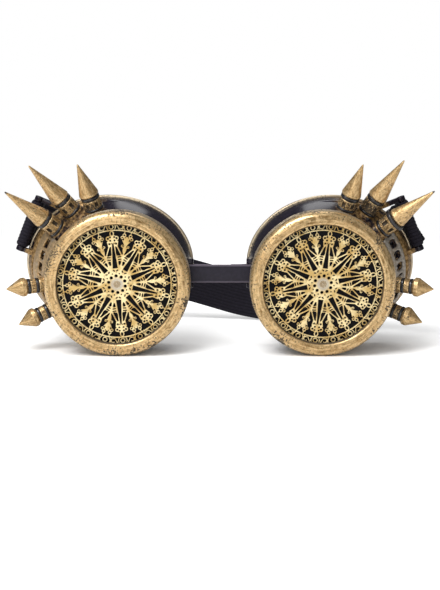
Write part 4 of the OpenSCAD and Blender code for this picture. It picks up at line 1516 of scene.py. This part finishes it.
class GOGGLES_OT_spikes(bpy.types.Operator):
    """Builds the cone spikes, their brass collars and the rubber rings between them"""
    bl_idname = "goggles.spikes"
    bl_label = "Spikes"

    def execute(self, context):
        for side in SIDES:
            cup = f"cup_{side}"
            collars, rings = Shell(), Shell()
            for number, spike in enumerate(spikes(side)):
                dress(cone(side, spike, 20 + number), cup, "spike_brass", f"{spike['name']}_spike_{side}")
                stack(side, spike, collars, rings)
            piece = collars.object(f"{side}_collars", "collar_gold", 40)
            dress(piece, cup, "collar_brass", f"spike_collars_{side}")
            piece = rings.object(f"{side}_rings", "ring_rubber", 50)
            dress(piece, cup, "ring_rubber", f"spike_rings_{side}")
            repaint(f"spike_screws_{side}", "plain_steel")
        return {"FINISHED"}


# The nose strip

# Its thickness, the inner radius of its folds, and the radius of its corners
STRIP_T = 1.3
FOLD_R = 0.86
STRIP_EDGE = 0.4


def catmull(before, first, last, after, t):
    """Catmull-Rom curve from first, at t 0, to last, at 1."""
    return 0.5 * (2 * first + (last - before) * t
                  + (2 * before - 5 * first + 4 * last - after) * t * t
                  + (3 * first - before - 3 * last + after) * t ** 3)


def smooth_path(points, steps):
    """Catmull-Rom line through all points."""
    p = np.array(points, float)
    p = np.concatenate([[2 * p[0] - p[1]], p, [2 * p[-1] - p[-2]]])
    t = (np.arange(steps) / steps)[:, None]
    made = [catmull(*p[k:k + 4], t) for k in range(len(p) - 3)]
    return np.concatenate([*made, p[-2:-1]])


def carry(shell, path, across, section):
    """Sweeps a section of (across, thick, wear) along a path with an across direction at each point."""
    ahead = np.gradient(path, axis=0)
    ahead /= np.linalg.norm(ahead, axis=1)[:, None]
    across = across - ahead * np.einsum("ij,ij->i", across, ahead)[:, None]
    across /= np.linalg.norm(across, axis=1)[:, None]
    section = np.array(section, float)
    along = np.concatenate([[0], np.cumsum(np.linalg.norm(np.diff(path, axis=0), axis=1))])
    rings = swept(path, across, np.cross(ahead, across), section)
    loft(shell, rings, False, wear=section[None, :, 2], along=along[:, None], across=section[None, :, 0])


def strip_section(width, thick):
    """Closed section of the nose strip: rounded corners, and a shallow line pressed along each edge."""
    h, t = width / 2 - STRIP_EDGE, thick / 2 - STRIP_EDGE
    quarter_turn = np.linspace(0, math.pi / 2, 5)
    corner = [(h + STRIP_EDGE * math.cos(a), t + STRIP_EDGE * math.sin(a), 1.0) for a in quarter_turn]
    line = [(h - 0.35, t + 0.37, 0.35), (h - 0.6, t + 0.3, 0.0), (h - 0.9, t + 0.37, 0.1)]
    quarter = corner + line
    mirrored = quarter[::-1]
    section = quarter + [(-a, b, wear) for a, b, wear in mirrored]
    return section + [(-a, -b, wear) for a, b, wear in quarter] + [(a, -b, wear) for a, b, wear in mirrored]


class GOGGLES_OT_strip(bpy.types.Operator):
    """Builds the flat nose strip with a fold round each pin"""
    bl_idname = "goggles.strip"
    bl_label = "Nose strip"

    def execute(self, context):
        low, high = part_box("nose_strip")
        z = (high.z + low.z) / 2 / MM
        r = FOLD_R + STRIP_T / 2
        lap_y = STRIP_T + 0.01 - r
        lapped = [(4.6, lap_y), (6.6, lap_y), (8.6, lap_y + 0.14), (PIN_X - 1.2, r - 0.35)]
        fold = [(PIN_X + r * math.sin(a), r * math.cos(a)) for a in np.linspace(0, math.pi, 15)]
        front = [(PIN_X - 2.0, -r), (PIN_X - 6.0, -r), (0.0, -r)]
        half = lapped + fold + front
        line = half + [(-x, y) for x, y in half[-2::-1]]
        path = smooth_path([(x, PIN_Y + y, z) for x, y in line], 5)
        shell = Shell()
        upright = np.tile([0.0, 0, 1], (len(path), 1))
        carry(shell, path, upright, strip_section((high.z - low.z) / MM, STRIP_T))
        dress(shell.object("nose_strip_body", "strip_black", 50), "bridge", "strip_black", "nose_strip")
        return {"FINISHED"}


# The elastic

# Its route behind the cups, from left to right: x, depth behind the front faces, and height
STRAP_POINTS = (
    (-82, 40, 52), (-78, 52, 47.5), (-68, 65, 40.5), (-51, 75, 32), (-30, 79.6, 24), (-8, 80.4, 17.4),
    (12, 79.8, 11.8), (27, 77.6, 10.1), (41, 71.6, 13.6), (53, 62.5, 22.5), (65, 53.4, 31), (76, 43.6, 41.5),
)
SPANS = len(STRAP_POINTS) + 1

# Its right end at the bar, and a point further back; the left end mirrors them
STRAP_END = (82.6474, 23.4, 53.0984)
STRAP_BACK = (82.6474, 31.4, 53.0984)

# A loop's straight legs behind the bar, the gap where elastic lies on elastic, and the play round a bar
LEG = 6.0
LAP_GAP = 1.45
BAR_PLAY = 0.1

# Places on the route, in spans from the left: the end of the sewn lap, and the buckle
SEWN_END = 1.25
SLIDER_AT = 10.5


def fold_radius(bar_r):
    """Radius of the elastic's middle line where it folds round a bar."""
    return bar_r + BAR_PLAY + sizes_of("strap").thickness / 2


def strap_route():
    """Middle line of the elastic from the left bar to the right one, in world millimetres."""
    left = [(-x, depth, z) for x, depth, z in (STRAP_END, STRAP_BACK)]
    return np.array([*left, *STRAP_POINTS, STRAP_BACK, STRAP_END], float) + [0, FRONT_Y, 0]


def on_route(x):
    """Place, and directions ahead, across and inward, of the elastic at places x along its route."""
    route = strap_route()

    def place(x):
        k = np.clip(np.floor(x).astype(int), 0, SPANS - 1)
        return catmull(*(route[k + n] for n in range(4)), (x - k)[:, None])

    x = np.asarray(x, float)
    ahead = place(np.minimum(x + 0.02, SPANS)) - place(np.maximum(x - 0.02, 0))
    ahead[x <= 0.001] = (0, 1, 0)
    ahead[x >= SPANS - 0.001] = (0, -1, 0)
    ahead /= np.linalg.norm(ahead, axis=1)[:, None]
    lean = math.tan(math.radians(BAR_TURN)) * (np.maximum(0, 1 - x / 3) - np.maximum(0, 1 - (SPANS - x) / 3))
    up = np.stack([lean, np.zeros(len(x)), np.ones(len(x))], 1)
    across = up - ahead * np.einsum("ij,ij->i", up, ahead)[:, None]
    across /= np.linalg.norm(across, axis=1)[:, None]
    return place(x), ahead, across, np.cross(ahead, across)


def elastic_section():
    """Closed section of the elastic: ribs along both faces, rounded at its two edges."""
    sizes = sizes_of("strap")
    half_w, half_t = sizes.width / 2, sizes.thickness / 2
    across = np.linspace(-half_w + 0.25, half_w - 0.25, sizes.ribs * 8 + 1)
    phase = (across / (sizes.width - 0.5) + 0.5) * sizes.ribs
    swell = np.abs(np.sin(np.pi * phase)) ** 0.55
    face = [(x, half_t - sizes.rib_h * (1 - s), s * 0.9) for x, s in zip(across, swell)]
    edge = [(half_w - 0.05, half_t * 0.55, 0.4), (half_w, 0, 0.4), (half_w - 0.05, -half_t * 0.55, 0.4)]
    other = [(x, -z, wear) for x, z, wear in face[::-1]]
    return face + edge + other + [(-x, -z, wear) for x, z, wear in edge]


def elastic(name, path, across):
    """A length of the ribbed elastic along a path."""
    shell = Shell()
    carry(shell, path, across, elastic_section())
    return shell.object(name, "elastic_black", 60)


def strap_loop(side):
    """The fold of elastic round one cup's bar."""
    r = fold_radius(BAR_R)
    leg = [LEG * k / 4 for k in (4, 3, 2, 1)]
    arc = [(r * math.cos(a), -r * math.sin(a)) for a in np.linspace(0, math.pi, 25)]
    line = [(r, y) for y in leg] + arc + [(-r, y) for y in leg[::-1]]
    local = np.array([(x, y, 0.0) for x, y in line])
    place = bar_place(side)
    piece = elastic(f"{side}_strap_loop", place(local), place(local + [0, 0, 1.0]) - place(local))
    dress(piece, f"cup_{side}", "elastic_black", f"strap_loop_{side}")
    flat = (sizes_of("strap").width * MM, (2 * LEG + math.pi * r) * MM)


def lap(x):
    """Gap between two layers of the elastic, from a loop's open legs to lying on each other."""
    return LAP_GAP + (2 * fold_radius(BAR_R) - LAP_GAP) * np.maximum(0, 1 - x) ** 2


def strap_length(name, places, offsets):
    """A length of the elastic on its route, offset inward, blended between the bridge and a cup."""
    here, _, across, inward = on_route(places)
    path = here + inward * offsets[:, None]
    piece = elastic(name, path, across)
    long = float(np.linalg.norm(np.diff(path, axis=0), axis=1).sum())
    flat = (sizes_of("strap").width * MM, long * MM)
    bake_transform(piece)
    return piece


class GOGGLES_OT_strap(bpy.types.Operator):
    """Builds the ribbed elastic: loops round the bars, the long strap, its sewn end and its tail"""
    bl_idname = "goggles.strap"
    bl_label = "Head strap"

    def execute(self, context):
        for side in SIDES:
            strap_loop(side)
        half = np.linspace(0, SPANS / 2, 131)
        flush = np.zeros(len(half))
        sewn = np.linspace(0, SEWN_END, 40)
        tail = np.linspace(SLIDER_AT + 0.2, SPANS, 60)
        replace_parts(strap_length("left_strap", half, flush), "head_strap")
        strap_length("right_strap", half + SPANS / 2, flush)
        strap_length("strap_sewn_end", sewn, lap(sewn))
        strap_length("strap_tail", tail, lap(SPANS - tail))
        return {"FINISHED"}


# The buckle: half its length, its walls and plate, its bar's radius and height, and the fold's legs
BUCKLE_HALF = 4.5
BUCKLE_WALL = 1.6
BUCKLE_PLATE = 1.0
BUCKLE_BAR_R = 0.9
BUCKLE_BAR_Z = 3.1
BUCKLE_LEG = 5.0


class GOGGLES_OT_slider(bpy.types.Operator):
    """Builds the sliding buckle and the fold of elastic round its bar"""
    bl_idname = "goggles.slider"
    bl_label = "Slider"

    def execute(self, context):
        sizes = sizes_of("strap")
        here, ahead, across, inward = (value[0] for value in on_route(np.array([SLIDER_AT])))
        turn = np.stack([ahead, across, inward], 1)

        def place(points):
            return np.asarray(points, float) @ turn.T + here

        def bar_place(points):
            return place(points[:, [0, 2, 1]] + [0, 0, BUCKLE_BAR_Z])

        half = sizes.width / 2 + 0.3
        low, high = -sizes.thickness / 2 - 1.2, BUCKLE_BAR_Z + BUCKLE_BAR_R + 0.6
        shell = Shell()
        outer = half + BUCKLE_WALL
        block(shell, (-BUCKLE_HALF, -outer, low), (BUCKLE_HALF, outer, low + BUCKLE_PLATE), place, 0.3)
        for y in (-outer, half):
            block(shell, (-BUCKLE_HALF, y, low), (BUCKLE_HALF, y + BUCKLE_WALL, high), place, 0.35)
        round_bar(shell, bar_place, BUCKLE_BAR_R, -half, half, segments=32)
        dress(shell.object("strap_buckle", "buckle_black", 40), "slider", "slider_black", "strap_slider")
        r = fold_radius(BUCKLE_BAR_R)
        leg = [BUCKLE_LEG * k / 4 for k in (4, 3, 2, 1)]
        arc = [(-r * math.sin(a), BUCKLE_BAR_Z + r * math.cos(a)) for a in np.linspace(0, math.pi, 21)]
        line = [(x, BUCKLE_BAR_Z + r) for x in leg] + arc + [(x, BUCKLE_BAR_Z - r) for x in leg[::-1]]
        path = place([(x, 0.0, z) for x, z in line])
        fold = elastic("strap_fold", path, np.tile(across, (len(path), 1)))
        dress(fold, "bridge", "elastic_black")
        return {"FINISHED"}


# The stage, in metres and watts

# Each lamp's name, place, aim, size and power
LAMPS = (
    ("key_lamp", (-0.30, -0.36, 0.70), (0, 0, 0.03), 0.45, 5.4),
    ("top_lamp", (0.05, 0.0, 0.85), (0, 0, 0.03), 0.50, 2.2),
    ("back_lamp", (0.05, 0.55, 0.70), (0, 0, 0.03), 0.30, 0.7),
    ("front_card", (-0.30, -0.85, 0.35), (0, 0, 0.05), 0.60, 2.2),
)

# The world's level on the object and in mirrors, and the white that the camera sees
WORLD_LEVEL = 0.36
MIRROR_LEVEL = 0.10
WHITE_LEVEL = 1.0

# The floor's white for the camera and for the light it throws back, and the radii over which it fades out
FLOOR_LEVEL = 1.12
BOUNCE_LEVEL = 0.75
FLOOR_FADE = (0.16, 0.42)
FLOOR_HALF = 3

CAMERA_AT = (0, -0.5034, 0.1076)
CAMERA_TILT = 80.0
CAMERA_LENS = 70.3


def camera_switch(tree, seen, other, ray="Is Camera Ray"):
    """Mixes two shaders: one for the rays of one kind and one for all other rays."""
    path = tree.nodes.new("ShaderNodeLightPath")
    mix = tree.nodes.new("ShaderNodeMixShader")
    tree.links.new(path.outputs[ray], mix.inputs[0])
    tree.links.new(other.outputs[0], mix.inputs[1])
    tree.links.new(seen.outputs[0], mix.inputs[2])
    return mix


def plain_world():
    """One plain level all round, lower in mirrors, and white behind the object."""
    world = bpy.data.worlds.new("plain_world")
    world.use_nodes = True
    tree = world.node_tree
    tree.nodes.clear()
    levels = []
    for level in (WHITE_LEVEL, MIRROR_LEVEL, WORLD_LEVEL):
        node = tree.nodes.new("ShaderNodeBackground")
        node.inputs["Strength"].default_value = level
        node.inputs["Color"].default_value = (1, 1, 1, 1)
        levels.append(node)
    white, mirrored, plain = levels
    mix = camera_switch(tree, white, camera_switch(tree, mirrored, plain, "Is Glossy Ray"))
    tree.links.new(mix.outputs[0], tree.nodes.new("ShaderNodeOutputWorld").inputs[0])
    return world


def floor_paint():
    """White floor that keeps its shadows and fades into the white behind it."""
    material = bpy.data.materials.new("floor_white")
    material.use_nodes = True
    tree = material.node_tree
    tree.nodes.clear()
    matt = []
    for level in (FLOOR_LEVEL, BOUNCE_LEVEL):
        node = tree.nodes.new("ShaderNodeBsdfDiffuse")
        node.inputs["Color"].default_value = (level, level, level, 1)
        matt.append(node)
    place = tree.nodes.new("ShaderNodeTexCoord")
    distance = tree.nodes.new("ShaderNodeVectorMath")
    distance.operation = "LENGTH"
    fade = tree.nodes.new("ShaderNodeMapRange")
    fade.interpolation_type = "SMOOTHSTEP"
    fade.inputs["From Min"].default_value = FLOOR_FADE[0]
    fade.inputs["From Max"].default_value = FLOOR_FADE[1]
    white = tree.nodes.new("ShaderNodeEmission")
    blend = tree.nodes.new("ShaderNodeMixShader")
    tree.links.new(place.outputs["Object"], distance.inputs[0])
    tree.links.new(distance.outputs["Value"], fade.inputs["Value"])
    tree.links.new(fade.outputs[0], blend.inputs[0])
    tree.links.new(matt[0].outputs[0], blend.inputs[1])
    tree.links.new(white.outputs[0], blend.inputs[2])
    mix = camera_switch(tree, blend, matt[1])
    tree.links.new(mix.outputs[0], tree.nodes.new("ShaderNodeOutputMaterial").inputs[0])
    return material


def staged(name, data):
    """An object of the stage."""
    holder = bpy.data.objects.new(name, data)
    bpy.context.scene.collection.objects.link(holder)
    return holder


class GOGGLES_OT_stage(bpy.types.Operator):
    """Builds the white floor, the soft lamps, the plain world and the camera"""
    bl_idname = "goggles.stage"
    bl_label = "Stage"

    def execute(self, context):
        scene = context.scene
        scene.view_settings.view_transform = "Standard"
        scene.world = plain_world()
        mesh = bpy.data.meshes.new("floor")
        corners = [(x * FLOOR_HALF, y * FLOOR_HALF, 0) for x, y in ((-1, -1), (1, -1), (1, 1), (-1, 1))]
        mesh.from_pydata(corners, [], [(0, 1, 2, 3)])
        mesh.materials.append(floor_paint())
        staged("floor", mesh)
        for name, place, aim, size, power in LAMPS:
            lamp = bpy.data.lights.new(name, "AREA")
            lamp.size = size
            lamp.energy = power
            holder = staged(name, lamp)
            holder.location = place
            holder.visible_glossy = name != "top_lamp"
            holder.rotation_euler = (Vector(aim) - Vector(place)).to_track_quat("-Z", "Y").to_euler()
        camera = bpy.data.cameras.new("camera")
        camera.sensor_width = 36
        camera.lens = CAMERA_LENS
        holder = staged("camera", camera)
        holder.location = CAMERA_AT
        holder.rotation_euler = (math.radians(CAMERA_TILT), 0, 0)
        scene.camera = holder
        return {"FINISHED"}


OPERATORS = (
    GOGGLES_OT_bezels, GOGGLES_OT_discs, GOGGLES_OT_lenses, GOGGLES_OT_cups, GOGGLES_OT_beads,
    GOGGLES_OT_vents, GOGGLES_OT_spikes, GOGGLES_OT_strip, GOGGLES_OT_strap, GOGGLES_OT_slider,
    GOGGLES_OT_stage,
)


class GOGGLES_PT_panel(bpy.types.Panel):
    """Lists the pieces of the goggles and their sizes and colours"""
    bl_label = "Spiked Goggles"
    bl_idname = "GOGGLES_PT_panel"
    bl_space_type = "VIEW_3D"
    bl_region_type = "UI"
    bl_category = "Goggles"

    def draw(self, context):
        for operator in OPERATORS:
            self.layout.operator(operator.bl_idname)
        goggles = context.scene.goggles
        for group in (goggles.bezel, goggles.rosette, goggles.cup, goggles.strap, goggles.gold):
            box = self.layout.box()
            for name in group.bl_rna.properties.keys():
                if name not in ("rna_type", "name"):
                    box.prop(group, name)


CLASSES = (
    BezelSizes, RosetteSizes, CupSizes, StrapSizes, GoldColours, GogglesSettings,
    *OPERATORS, GOGGLES_PT_panel,
)


def register():
    """Registers the classes and gives the scene its settings."""
    for cls in CLASSES:
        bpy.utils.register_class(cls)
    bpy.types.Scene.goggles = PointerProperty(type=GogglesSettings)


def unregister():
    """Takes the settings and the classes away again."""
    del bpy.types.Scene.goggles
    for cls in reversed(CLASSES):
        bpy.utils.unregister_class(cls)


def main():
    """Builds everything in order."""
    register()
    for operator in OPERATORS:
        group, name = operator.bl_idname.split(".")
        getattr(getattr(bpy.ops, group), name)()


if __name__ == "__main__":
    main()
